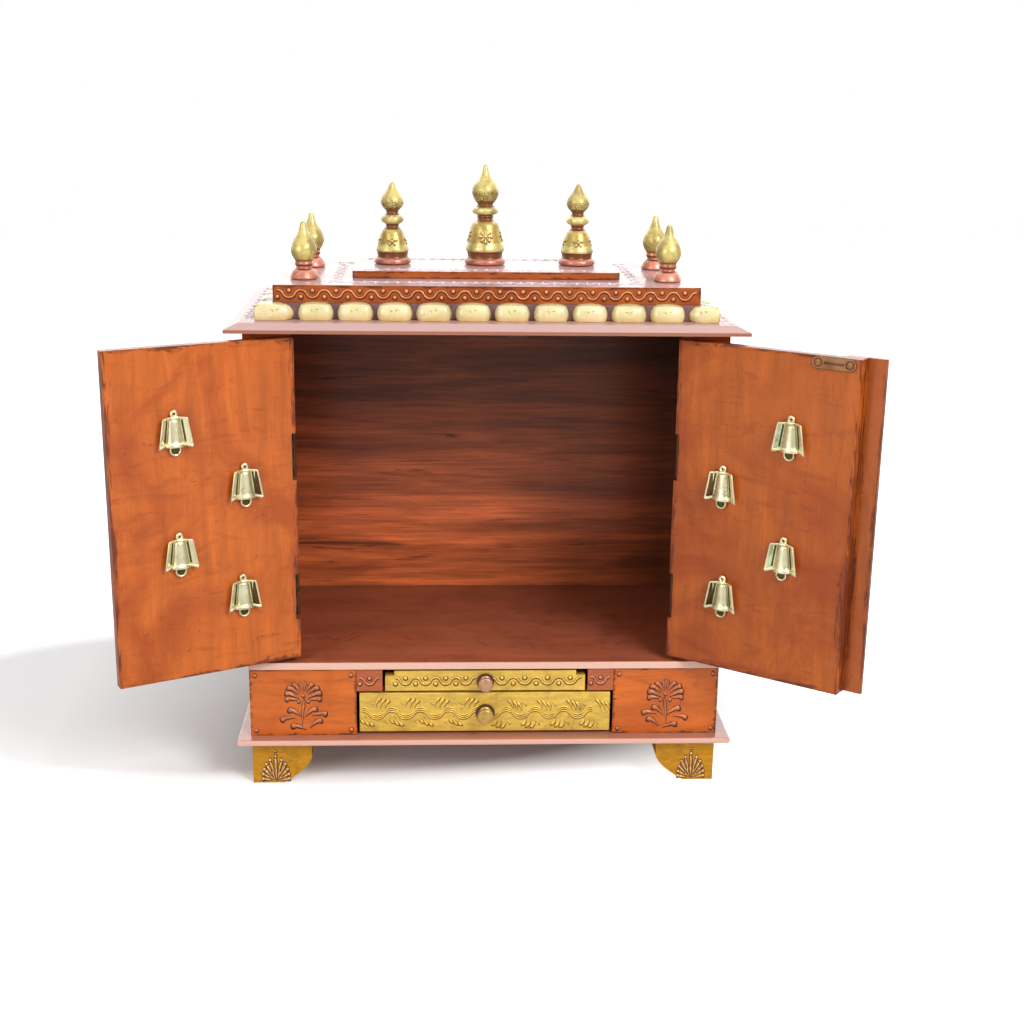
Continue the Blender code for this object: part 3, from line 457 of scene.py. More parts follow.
def lacquered_wood(
    name, tone, streak, grain="z", turn=0.0, mottle=0.35, streaky=0.0, coat=1.0,
    edges=(), wear_and_shadow_lines=(), worn_width=0.010, fade=None,
):
    """Stained board under gloss lacquer, with brush streaks, clouds and fine pores.

    Edges are (axis, place, sense, tone): past the place the board shows another tone, painted light and
    shade: painted highlights and sheen on lit edges and tops, painted shade low on the eave's front.
    Lines given as (axis, place) for wear are those beside which the stain is darkened in frayed streaks:
    rubbed wear, and on the astragal a painted shadow beside the door's edge.
    Fade is (axis, low, high, first, last): a factor on the colour from one side to the other, used as
    painted shade.
    """
    f = Finish(name)
    along = {"x": (1.0, 9.0, 9.0), "y": (9.0, 1.0, 9.0), "z": (9.0, 9.0, 1.0)}[grain]
    board = f.turned(turn=(0.0, 0.0, turn))
    lines = f.turned(scale=along, source=board)
    streaks = f.noise(lines, 6.0, 7.0, 0.62, 0.9)
    pores = f.noise(lines, 55.0, 3.0, 0.6)
    clouds = f.noise(board, 9.0, 5.0, 0.6, 0.8)
    brush = f.turned(scale=(2.0, 2.0, 8.0), shift=(3.1, 1.7, 0.4), source=board)
    smears = f.noise(brush, 7.0, 6.0, 0.68, 1.6)
    speck = f.noise(board, 120.0, 3.0, 0.7, 1.0)
    base = f.ramp(
        streaks, (0.34, shade(tone, 0.80)), (0.47, shade(tone, 0.98)), (0.56, shade(tone, 1.06)),
        (0.68, shade(tone, 1.22)),
    )
    red, green, blue = tone
    redder = (0.66 * red, 0.46 * green, 0.40 * blue)
    colour = f.mix(f.remap(clouds, 0.44, 0.62, 0.0, mottle), base, redder)
    colour = f.mix(f.remap(smears, 0.54, 0.68, 0.0, 0.30 + 0.6 * streaky), colour, streak)
    colour = f.mix(f.remap(pores, 0.55, 0.75, 0.0, 0.30), colour, streak)
    colour = f.mix(f.remap(speck, 0.66, 0.74, 0.0, 0.55), colour, shade(streak, 0.6))
    if wear_and_shadow_lines:
        patchy = f.remap(f.noise(board, 12.0, 3.0, 0.6), 0.35, 0.65, -0.07, 0.07)
        level = f.turned(scale=(3.0, 3.0, 9.0), source=board)
        upright_fibres = f.noise(lines, 26.0, 6.0, 0.75, 0.8)
        level_fibres = f.noise(level, 12.0, 6.0, 0.75, 0.8)
        for group, fibres in (("XY", upright_fibres), ("Z", level_fibres)):
            near = None
            for axis, spot in wear_and_shadow_lines:
                if axis in group:
                    away = f.away(f.axis(axis, board), spot)
                    near = away if near is None else f.maths("MINIMUM", near, away)
            if near is not None:
                rim = f.add(f.remap(near, 0.0, worn_width, 0.17, -0.13), patchy)
                frayed = f.remap(f.add(fibres, rim), 0.57, 0.68, 0.0, 0.85)
                colour = f.mix(frayed, colour, shade(streak, 0.5))
    if fade:
        axis, low, high, first, last = fade
        strength = f.ramp(f.remap(f.axis(axis), low, high, 0.0, 1.0), (0.0, first), (1.0, last))
        colour = f.mix(1.0, colour, strength, "MULTIPLY")
    # Painted light and shade: each edge band lays its painted tone over the stain past its place.
    for axis, spot, sense, painted_light_tone in edges:
        past = f.times(f.maths("SUBTRACT", f.axis(axis), spot), sense)
        colour = f.mix(f.remap(past, -0.0004, 0.0004, 0.0, 0.8), colour, painted_light_tone)
    rough = f.remap(streaks, 0.3, 0.7, 0.32, 0.48)
    ripple = f.bump(f.noise(board, 38.0, 2.0, 0.5), 0.0010, 0.25)
    normal = f.bump(pores, 0.0003, 0.35, ripple)
    return f.set(
        Base_Color=colour, Roughness=rough, Normal=normal, Coat_Weight=coat,
        Coat_Roughness=0.10, Coat_Normal=ripple, Specular_IOR_Level=0.2,
    )


def plain_coat(name, tone, rough=0.4, coat=0.5):
    """One tone of paint with small clouds and a brushed surface."""
    f = Finish(name)
    clouds = f.noise(f.place, 80.0, 4.0, 0.6, 0.5)
    colour = f.ramp(clouds, (0.3, shade(tone, 0.7)), (0.5, tone), (0.7, shade(tone, 1.35)))
    return f.set(
        Base_Color=colour, Roughness=f.remap(clouds, 0.3, 0.7, rough - 0.06, rough + 0.08),
        Normal=f.bump(clouds, 0.0004, 0.3), Coat_Weight=coat, Coat_Roughness=0.15,
    )


def gold_paint(name, tone, patina, wear=0.5, metal=0.35, coat=0.4):
    """Antique gold paint with brown glaze in patches and a hand-brushed surface."""
    f = Finish(name)
    brush = f.noise(f.turned(scale=(2.0, 8.0, 8.0)), 30.0, 4.0, 0.6, 0.3)
    glaze = f.noise(f.place, 34.0, 5.0, 0.65, 1.0)
    specks = f.noise(f.place, 260.0, 2.0, 0.6)
    base = f.ramp(brush, (0.3, shade(tone, 0.80)), (0.55, tone), (0.75, shade(tone, 1.25)))
    colour = f.mix(f.remap(glaze, 0.50, 0.72, 0.0, wear), base, patina)
    colour = f.mix(f.remap(specks, 0.62, 0.72, 0.0, 0.4), colour, shade(patina, 1.6))
    normal = f.bump(f.add(brush, f.times(specks, 0.4)), 0.0005, 0.4)
    return f.set(
        Base_Color=colour, Roughness=f.remap(glaze, 0.3, 0.7, 0.28, 0.46), Normal=normal,
        Metallic=metal, Coat_Weight=coat, Coat_Roughness=0.2,
    )


def aged_brass(name, tone, patina, amount=0.5, rough=0.26):
    """Cast brass with olive tarnish in the pits and fine scratches."""
    f = Finish(name)
    pits = f.noise(f.place, 150.0, 4.0, 0.6, 0.4)
    cloud = f.noise(f.place, 45.0, 3.0, 0.5)
    scratch = f.noise(f.turned(scale=(1.0, 1.0, 14.0)), 240.0, 2.0, 0.5)
    colour = f.mix(f.remap(cloud, 0.42, 0.70, 0.0, amount), tone, patina)
    colour = f.mix(f.remap(pits, 0.60, 0.74, 0.0, amount), colour, shade(patina, 0.6))
    normal = f.bump(f.add(pits, f.times(scratch, 0.3)), 0.0006, 0.5)
    return f.set(
        Base_Color=colour, Metallic=0.9, Normal=normal,
        Roughness=f.remap(cloud, 0.3, 0.7, rough, rough + 0.16),
    )


def petal_lacquer(name, tone):
    """Cream-gold lacquer, blushed with gilt and rubbed with brown specks."""
    f = Finish(name)
    blush = f.noise(f.place, 24.0, 3.0, 0.5, 0.5)
    specks = f.noise(f.place, 190.0, 3.0, 0.6, 0.8)
    foot = f.remap(f.axis("Z"), 0.514, 0.522, 0.55, 0.0)
    base = f.ramp(blush, (0.32, shade(tone, 0.84)), (0.52, tone), (0.74, (0.90, 0.84, 0.58)))
    gilt = (0.66, 0.38, 0.07)
    colour = f.mix(f.maths("MAXIMUM", f.remap(blush, 0.55, 0.75, 0.0, 0.6), foot), base, gilt)
    colour = f.mix(f.remap(specks, 0.66, 0.74, 0.0, 0.6), colour, (0.30, 0.16, 0.05))
    normal = f.bump(f.add(specks, blush), 0.0006, 0.35)
    return f.set(
        Base_Color=colour, Roughness=f.remap(specks, 0.3, 0.7, 0.22, 0.38), Normal=normal,
        Coat_Weight=0.6, Coat_Roughness=0.15, Metallic=0.05,
    )


def banded_gilding(name, low, high, bands, patina, scaly=None):
    """Gilding whose tone changes with height; scaly is the span with embossed scales."""
    f = Finish(name)
    height = f.remap(f.axis("Z"), low.z, high.z, 0.0, 1.0)
    rings = f.ramp(height, *bands, ease="CONSTANT")
    blotch = f.noise(f.place, 60.0, 4.0, 0.6, 0.6)
    fine = f.noise(f.place, 230.0, 3.0, 0.6)
    colour = f.mix(f.remap(blotch, 0.46, 0.62, 0.0, 0.75), rings, f.mix(0.6, rings, patina))
    colour = f.mix(f.remap(fine, 0.58, 0.70, 0.0, 0.45), colour, patina)
    # Painted shade: the gilding darkens towards the left and right sides of each turned piece.
    reach = (high.x - low.x) / 2
    aside = f.away(f.axis("X"), (low.x + high.x) / 2)
    rubbed = f.add(aside, f.times(f.maths("SUBTRACT", blotch, 0.5), 0.03))
    shadow = f.mix(0.7, rings, patina)
    colour = f.mix(f.remap(rubbed, 0.30 * reach, 0.85 * reach, 0.0, 0.65), colour, shadow)
    relief = f.add(blotch, fine)
    if scaly:
        first, last = scaly
        web = f.remap(f.cells(f.place, 330.0), 0.03, 0.16, 1.0, 0.0)
        above = f.remap(height, first - 0.005, first + 0.005, 0.0, 1.0)
        below = f.remap(height, last - 0.03, last + 0.02, 1.0, 0.0)
        line = f.times(web, f.times(above, below))
        colour = f.mix(f.times(line, 0.75), colour, shade(patina, 0.7))
        relief = f.maths("SUBTRACT", relief, line)
    return f.set(
        Base_Color=colour, Metallic=0.3, Normal=f.bump(relief, 0.0007, 0.45), Coat_Weight=0.15,
        Coat_Roughness=0.14, Roughness=f.remap(blotch, 0.3, 0.7, 0.26, 0.44),
    )


def dull_plastic(name, tone):
    """Matt moulded plastic with a fine grain."""
    f = Finish(name)
    grain = f.noise(f.place, 420.0, 3.0, 0.6)
    colour = f.ramp(grain, (0.3, shade(tone, 0.8)), (0.7, shade(tone, 1.2)))
    return f.set(
        Base_Color=colour, Roughness=f.remap(grain, 0.3, 0.7, 0.42, 0.6),
        Normal=f.bump(grain, 0.0003, 0.3),
    )


FINISHES = {}


def dress(node, finish):
    """Give a CAD node its finish."""
    slots = NODES[node].material_slots
    if not slots:
        NODES[node].data.materials.append(finish)
    for slot in slots:
        slot.material = finish


# Shapes that repeat


def leaf(length, width, height, curl=0.0, hook=0.0):
    """A carved comma: its head at -X may hook over, its tail is drawn out to a point at +X."""
    start()
    bpy.ops.mesh.primitive_uv_sphere_add(
        segments=10, ring_count=12, radius=0.5, rotation=(0.0, pi / 2, 0.0)
    )
    shape = added()
    for past in (-0.22, 0.0, 0.2, 0.35):
        stretch(shape, lambda co: co.x > past, (1.0, 0.74, 0.82), (0.0, 0.0, 0.0))
    cut(shape, (0.0, 0.0, -0.06), (0.0, 0.0, 1.0))
    shape.scale = (length, width, 2 * height)
    settle(shape)
    if hook:
        for share in (-0.12, -0.30):
            joint = share * length
            pick(shape, lambda co: co.x < joint)
            bpy.ops.transform.rotate(
                value=radians(hook), orient_axis="Z", center_override=(joint, -0.1 * width, 0.0)
            )
            done(shape)
    if curl:
        modify(shape, "SIMPLE_DEFORM", deform_method="BEND", deform_axis="Z", angle=radians(curl))
    return smooth(shape, 60.0)


def boss(radius, height):
    """A raised dot."""
    start()
    bpy.ops.mesh.primitive_uv_sphere_add(segments=12, ring_count=6, radius=1.0)
    shape = cut(added(), (0.0, 0.0, -0.1), (0.0, 0.0, 1.0))
    shape.scale = (radius, radius, height)
    return smooth(settle(shape), 60.0)


def repeat(obj, count, period, **settings):
    """A row of copies along X, in one mesh."""
    modify(
        obj, "ARRAY", count=count, use_relative_offset=False, use_constant_offset=True,
        constant_offset_displace=(period, 0.0, 0.0), **settings,
    )


def wave_line(period, swing, thick, count):
    """A raised line that swings evenly: spun arcs, repeated along X from a crest at X = 0."""
    half = period / 2
    sweep = 2 * atan(2 * swing / half)
    radius = half / (2 * sin(sweep))
    centre = swing - radius
    start()
    bpy.ops.mesh.primitive_circle_add(
        vertices=8, radius=thick / 2, location=(0.0, swing, 0.0), rotation=(0.0, pi / 2, 0.0)
    )
    line = added()
    pick(line, everything)
    for steps, angle, along, up in (
        (4, sweep, 0.0, centre), (8, -2 * sweep, half, -centre), (4, sweep, period, centre)
    ):
        bpy.ops.mesh.spin(
            steps=steps, angle=angle, center=(along, up, 0.0), axis=(0.0, 0.0, 1.0)
        )
    done(line)
    repeat(line, count, period, use_merge_vertices=True, merge_threshold=1e-5)
    for end in (0.0, period * count):
        pick(line, lambda co: abs(co.x - end) < 1e-5)
        bpy.ops.mesh.edge_face_add()
    return smooth(outward(line), 60.0)


def scroll_band(sizes, count, period=None, swell=1.0):
    """Wave with a dot in each hollow, centred on X = 0; swell widens every stroke."""
    period = period or sizes.scroll_period
    swing = sizes.scroll_swing
    parts = [wave_line(period, swing, sizes.scroll_thick * swell, count)]
    for along, rise in ((0.0, -0.80), (0.5, 0.85)):
        dot = boss(sizes.dot_radius * (1 + swell) / 2, sizes.relief * 1.1)
        dot.location = (period * along, swing * rise, 0.0)
        repeat(settle(dot), count, period)
        parts.append(dot)
    band = joined(parts, "scroll_band")
    band.location.x = -period * count / 2
    return settle(band)


def flattened(shape):
    """Press a raised ornament down to a thin film a little below the ornament: dark glaze round the relief,
    partly a painted shadow under it.
    """
    shape.scale = (1.0, 1.0, 0.12)
    shape.location = (0.2 * MM, -0.6 * MM, 0.0)
    return settle(shape)


def lay_scroll(name, body, matrix, tone, slot, *measures):
    """A raised scroll over its own dark glaze, partly a painted shadow under it, both riding on a body."""
    sizes = bpy.context.scene.mandir_sizes
    raised = place(scroll_band(sizes, *measures), matrix)
    finish_piece(raised, name, body, FINISHES[tone])
    film = place(flattened(scroll_band(sizes, *measures, swell=2.1)), matrix)
    finish_piece(film, name + "_glaze", body, FINISHES[tone + "_glaze"])


def stroke(key, head, tail, side=1, fat=1.0):
    """Where to put a leaf so that it runs from head to tail, in millimetres."""
    run = Vector(tail) - Vector(head)
    middle = (Vector(tail) + Vector(head)) / 2
    turn = run.angle_signed(Vector((1.0, 0.0)))
    return key, middle.x * MM, middle.y * MM, turn, run.length * MM, side * fat


def scatter(shapes, spots, name, swell=1.0):
    """Copies of named shapes at (shape, x, y, turn, length, width) spots, joined.

    A length of zero keeps the shape's own size, and a negative width mirrors it.
    """
    copies = []
    for key, x, y, turn, length, width in spots:
        grow = length / shapes[key].dimensions.x if length else 1.0
        wide = width * (grow ** 0.5) * swell
        spot = Matrix.Translation((x, y, 0.0)) @ Matrix.Rotation(turn, 4, "Z")
        long = grow * (1 + (swell - 1) * 0.3)
        size = Matrix.Diagonal((long, wide, abs(width) ** 0.5, 1.0))
        copies.append(settle(twin(shapes[key], spot @ size)))
    return outward(joined(copies, name))


def lay_carving(
    name, body, matrix, tone, shapes, spots, lines=(), shadows=(), swell=1.5
):
    """Raised strokes and lines over their own dark glaze, partly a painted shadow under them, both riding
    on a body.
    """
    raised = joined([scatter(shapes, spots, name), *lines], name)
    film = flattened(joined([scatter(shapes, spots, name + "_glaze", swell), *shadows], name))
    discard(*shapes.values())
    finish_piece(place(raised, matrix), name, body, FINISHES[tone])
    finish_piece(place(film, matrix), name + "_glaze", body, FINISHES[tone + "_glaze"])


def slotted_screw(radius):
    """A slotted round-head screw, seen from above."""
    start()
    bpy.ops.mesh.primitive_cylinder_add(vertices=24, radius=radius, depth=radius * 1.6 / 3.0)
    head = bevelled(added(), radius / 5.0, 3)
    size = (radius * 8.0 / 3.0, radius * 0.8 / 3.0, radius / 3.0)
    slot = block(size, (0.0, 0.0, radius * 0.3), 0.5)
    modify(head, "BOOLEAN", operation="DIFFERENCE", object=slot, solver="EXACT")
    discard(slot)
    return smooth(head, 35.0)


def turned(outline, sides, spot, height, radius):
    """A turned piece: a disc extruded upwards and resized along its outline, then smoothed."""
    start()
    wide, level = outline[0]
    bpy.ops.mesh.primitive_circle_add(
        vertices=sides, radius=wide * radius, fill_type="NGON",
        location=(spot[0], spot[1], spot[2] + level * height),
    )
    shape = added()
    pick(shape, everything)
    for share, rise in outline[1:]:
        bpy.ops.mesh.extrude_region_move(
            TRANSFORM_OT_translate={"value": (0.0, 0.0, (rise - level) * height)}
        )
        share = max(share, 0.004)
        bpy.ops.transform.resize(value=(share / wide, share / wide, 1.0))
        wide, level = share, rise
    outward(done(shape))
    modify(shape, "SUBSURF", levels=1, render_levels=1)
    return smooth(shape, 50.0)


# Operators


class MandirOperator(bpy.types.Operator):
    """Shared ways of the mandir's operators."""

    bl_options = {"REGISTER", "UNDO"}

    @property
    def sizes(self):
        return bpy.context.scene.mandir_sizes

    @property
    def colours(self):
        return bpy.context.scene.mandir_colours


class MANDIR_OT_stage(MandirOperator):
    """Camera, soft lamps, pale floor and white surroundings"""

    bl_idname = "mandir.stage"
    bl_label = "Studio stage"

    def execute(self, context):
        scene = context.scene
        scene.view_settings.view_transform = "Standard"
        data = bpy.data.cameras.new("front_view")
        data.lens = self.sizes.lens
        data.sensor_width = 36.0
        data.clip_end = 50.0
        camera = bpy.data.objects.new("front_view", data)
        scene.collection.objects.link(camera)
        yaw, pitch, roll = radians(2.829), radians(-15.869), radians(0.805)
        ahead = Vector((sin(yaw) * cos(pitch), cos(yaw) * cos(pitch), sin(pitch)))
        level = Vector((cos(yaw), -sin(yaw), 0.0))
        above = level.cross(ahead)
        right = level * cos(roll) + above * sin(roll)
        up = above * cos(roll) - level * sin(roll)
        turn = Matrix((right, up, -ahead)).transposed().to_4x4()
        camera.matrix_world = Matrix.Translation(at(-0.05049, -1.55943, 0.75614)) @ turn
        scene.camera = camera
        self.add_lamp("key_lamp", (1.25, -1.75, 1.75), 1.1, self.sizes.key_power)
        self.add_lamp("fill_lamp", (-1.6, -1.8, 1.1), 1.5, self.sizes.key_power * 0.42)
        self.light_world(scene)
        self.lay_floor()
        return {"FINISHED"}

    def add_lamp(self, name, spot, size, power):
        data = bpy.data.lights.new(name, "AREA")
        data.shape = "DISK"
        data.size = size
        data.energy = power
        lamp = bpy.data.objects.new(name, data)
        bpy.context.scene.collection.objects.link(lamp)
        aim = Vector((0.0, 0.0, 0.3)) - Vector(spot)
        lamp.location = spot
        lamp.rotation_euler = aim.to_track_quat("-Z", "Y").to_euler()

    def light_world(self, scene):
        """White backdrop; reflections see it bright behind and above, dim in front."""
        world = bpy.data.worlds.new("studio")
        scene.world = world
        world.use_nodes = True
        w = Nodes(world.node_tree)
        back = w.tree.nodes["Background"]
        back.inputs["Color"].default_value = (1.0, 1.0, 1.0, 1.0)
        path = w.node("ShaderNodeLightPath")
        ray = w.node("ShaderNodeTexCoord").outputs["Generated"]
        behind = w.remap(w.axis("Y", ray), 0.0, 0.7, 0.28, 2.1, "SMOOTHSTEP")
        above = w.remap(w.axis("Z", ray), 0.35, 0.9, 0.0, 1.0, "SMOOTHSTEP")
        soft = w.remap(path.outputs["Is Diffuse Ray"], 0.0, 1.0, 1.0, 0.42, "SMOOTHSTEP")
        glossy = path.outputs["Is Glossy Ray"]
        shown = w.times(glossy, w.add(behind, above))
        plain = w.times(w.maths("SUBTRACT", 1.0, glossy), soft)
        w.feed(back.inputs["Strength"], w.add(shown, plain))

    def lay_floor(self):
        """A pale matt floor that glows for the camera, except where the shadow lies."""
        start()
        bpy.ops.mesh.primitive_plane_add(size=9.0, location=(0.0, 1.2, 0.0))
        floor = added()
        pick(floor, everything)
        bpy.ops.mesh.subdivide(number_cuts=6)
        done(floor)
        floor.name = floor.data.name = "pale_floor"
        f = Finish("pale_floor")
        grain = f.noise(f.place, 40.0, 3.0)
        f.set(
            Base_Color=f.ramp(grain, (0.3, 0.80), (0.7, 0.82)), Roughness=0.9,
            Specular_IOR_Level=0.1,
        )
        glow = f.node("ShaderNodeEmission")
        glow.inputs["Color"].default_value = (1.0, 1.0, 1.0, 1.0)
        path = f.node("ShaderNodeLightPath")
        across = f.maths("POWER", f.times(f.add(f.axis("X"), 0.20), 0.8), 2.0)
        deep = f.maths("POWER", f.times(f.maths("SUBTRACT", f.axis("Y"), 0.16), 1.6), 2.0)
        reach = f.maths("SQRT", f.add(across, deep))
        leftwards = f.remap(f.axis("X"), -0.27, -0.52, 0.03, 0.36)
        lift = f.maths("MAXIMUM", f.remap(reach, 0.34, 0.50, 0.0, 1.0), leftwards)
        f.feed(glow.inputs["Strength"], f.times(path.outputs["Is Camera Ray"], lift))
        both = f.node("ShaderNodeAddShader")
        f.feed(both.inputs[0], f.shader.outputs[0])
        f.feed(both.inputs[1], glow.outputs[0])
        f.feed(f.tree.nodes["Material Output"].inputs["Surface"], both.outputs[0])
        floor.data.materials.append(f.material)


class MANDIR_OT_boards(MandirOperator):
    """Lacquer on every board of the cabinet and both doors"""

    bl_idname = "mandir.boards"
    bl_label = "Lacquered boards"

    def execute(self, context):
        c = self.colours
        door = tuple(c.door_orange)
        copper = tuple(c.cabinet_copper)
        dark = tuple(c.stain_shadow)
        inner = tuple(c.inner_brown)
        self.dress_doors(door, dark)
        # Painted sheen: the pale lavender-pink on the tops of the roof box and cap stands in for the white
        # surroundings reflected in the lacquer.
        painted_sheen_lilac = (0.84, 0.58, 0.58)
        skin = 0.2 * MM
        upright = lacquered_wood("side_lacquer", copper, dark, "z", mottle=0.5, streaky=0.2, coat=0.5)
        for node in ("roof_box", "roof_cap"):
            low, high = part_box(node)
            corners = (("X", low.x), ("X", high.x), ("Z", low.z), ("Z", high.z))
            dress(node, lacquered_wood(
                node + "_lacquer", shade(door, 0.76), dark, "x", mottle=0.5, streaky=0.3, coat=0.5,
                edges=(("Z", high.z - skin, 1.0, painted_sheen_lilac),), wear_and_shadow_lines=corners, worn_width=6.0 * MM,
            ))
        dress("tray_shelf", lacquered_wood("shelf_lacquer", copper, dark, "x", streaky=0.3))
        low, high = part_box("eave_board")
        step = low.z + 3.6 * MM
        # Painted light and shade on the eave's front edge: a pale painted sheen above the step and a dark
        # painted shade below it.
        dress("eave_board", lacquered_wood(
            "eave_lacquer", copper, dark, "x", streaky=0.3, coat=0.35,
            edges=(("Z", step, -1.0, (0.34, 0.15, 0.10)), ("Z", step, 1.0, (0.58, 0.37, 0.35))),
        ))
        for node in ("base_side_left", "base_side_right", "side_wall_left", "side_wall_right",
                     "stile_left", "stile_right"):
            dress(node, upright)
        for side in ("left", "right"):
            low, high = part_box("base_panel_" + side)
            rims = (("X", low.x), ("X", high.x), ("Z", low.z), ("Z", high.z))
            dress("base_panel_" + side, lacquered_wood(
                "panel_lacquer_" + side, shade(door, 1.16), dark, "x", mottle=0.4, streaky=0.1,
                coat=0.4, wear_and_shadow_lines=rims, worn_width=6.0 * MM,
            ))
        dress("back_wall", self.brushed_back(inner))
        low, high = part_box("floor_board")
        # Painted highlight: a pale nose along the floor board's front edge; painted shade: the stain
        # darkens towards the back of the shrine.
        dress("floor_board", lacquered_wood(
            "floor_stain", (0.27, 0.074, 0.036), shade(dark, 0.4), "x", mottle=0.5, streaky=0.4, coat=0.9,
            edges=(("Y", low.y + 1.2 * MM, -1.0, (0.84, 0.54, 0.42)),),
            fade=("Y", low.y + 2.0 * MM, high.y, 1.55, 0.62),
        ))
        low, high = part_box("base_plate")
        # Painted highlight along the plate's front edge, and a pinker painted sheen on its top.
        dress("base_plate", lacquered_wood(
            "plate_lacquer", shade(copper, 0.8), dark, "x", streaky=0.4, edges=(
                ("Y", low.y + 1.2 * MM, -1.0, (0.84, 0.50, 0.40)),
                ("Z", high.z - skin, 1.0, (0.56, 0.29, 0.22)),
            ),
        ))
        for node in ("drawer_guide_left", "drawer_guide_right", "drawer_box"):
            dress(node, lacquered_wood(
                node + "_stain", shade(inner, 0.5), shade(dark, 0.3), "y", coat=0.3
            ))
        return {"FINISHED"}

    def brushed_back(self, tone):
        """Stain laid on with a wide brush, under painted light and shade: lightest low down left of the
        middle, darkening towards the top and the right, nearly black in the upper corners.
        """
        low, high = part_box("back_wall")
        f = Finish("brushed_back")
        wide = f.noise(f.turned(scale=(0.7, 1.0, 9.0)), 4.2, 7.0, 0.62, 0.5)
        fine = f.noise(f.turned(scale=(1.3, 1.0, 34.0), shift=(0.4, 0.0, 1.3)), 10.0, 6.0, 0.7, 0.4)
        dark_marks = f.noise(f.turned(scale=(0.7, 1.0, 13.0), shift=(2.2, 0.0, 5.1)), 8.0, 7.0, 0.70, 0.6)
        height = f.remap(f.axis("Z"), low.z, high.z, 0.0, 1.0)
        side = f.remap(f.axis("X"), low.x, high.x, 0.0, 1.0)
        # Painted light and shade: the back wall is lit low down and shaded towards the top, and shaded
        # towards the right-hand side.
        glow = f.ramp(height, (0.0, 1.7), (0.38, 2.0), (0.60, 1.15), (0.85, 0.58), (1.0, 0.45))
        corner = f.ramp(side, (0.0, 0.9), (0.3, 1.15), (0.66, 0.80), (0.84, 0.50), (0.94, 0.22))
        base = f.ramp(wide, (0.36, shade(tone, 0.55)), (0.50, tone), (0.64, shade(tone, 1.5)))
        colour = f.mix(f.remap(fine, 0.45, 0.72, 0.0, 0.65), base, shade(tone, 0.28))
        colour = f.mix(f.remap(dark_marks, 0.60, 0.69, 0.0, 0.7), colour, (0.012, 0.005, 0.004))
        colour = f.mix(1.0, f.mix(1.0, colour, glow, "MULTIPLY"), corner, "MULTIPLY")
        normal = f.bump(fine, 0.0005, 0.4)
        return f.set(
            Base_Color=colour, Roughness=f.remap(fine, 0.3, 0.7, 0.35, 0.55), Normal=normal,
            Coat_Weight=0.25, Coat_Roughness=0.2, Specular_IOR_Level=0.2,
        )

    def dress_doors(self, door, dark):
        """Each door keeps its grain upright, with its edges rubbed and darkened; the left door's stain is
        painted lighter and the right door's darker, a painted light and shade.
        """
        # Painted light and shade: the left door's stain is painted lighter and the right door's darker.
        for side, tone, s in (("left", shade(door, 1.08), -1), ("right", shade(door, 0.86), 1)):
            turn = -DOOR_OPEN[side]
            upright = Matrix.Rotation(turn, 3, "Z")
            pin = upright @ door_matrix(side).translation
            low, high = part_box("door_" + side)
            wear_and_shadow_lines = (
                ("X", pin.x - s * DOOR_REACH), ("X", pin.x - s * DOOR_HINGE_EDGE),
                ("Z", low.z), ("Z", high.z),
            )
            dress("door_" + side, lacquered_wood(
                "door_lacquer_" + side, tone, dark, "z", turn, 0.75, streaky=0.1, coat=0.35, wear_and_shadow_lines=wear_and_shadow_lines,
            ))
        # The astragal is darkened beside both its edges: a painted shadow where the door's edge meets it,
        # rubbed wear along its outer edge.
        beside = (("X", pin.x - DOOR_REACH), ("X", pin.x - ASTRAGAL_REACH))
        dress("astragal", lacquered_wood(
            "astragal_lacquer", shade(door, 0.80), dark, "z", turn, coat=0.5, wear_and_shadow_lines=beside,
            worn_width=7.0 * MM,
        ))


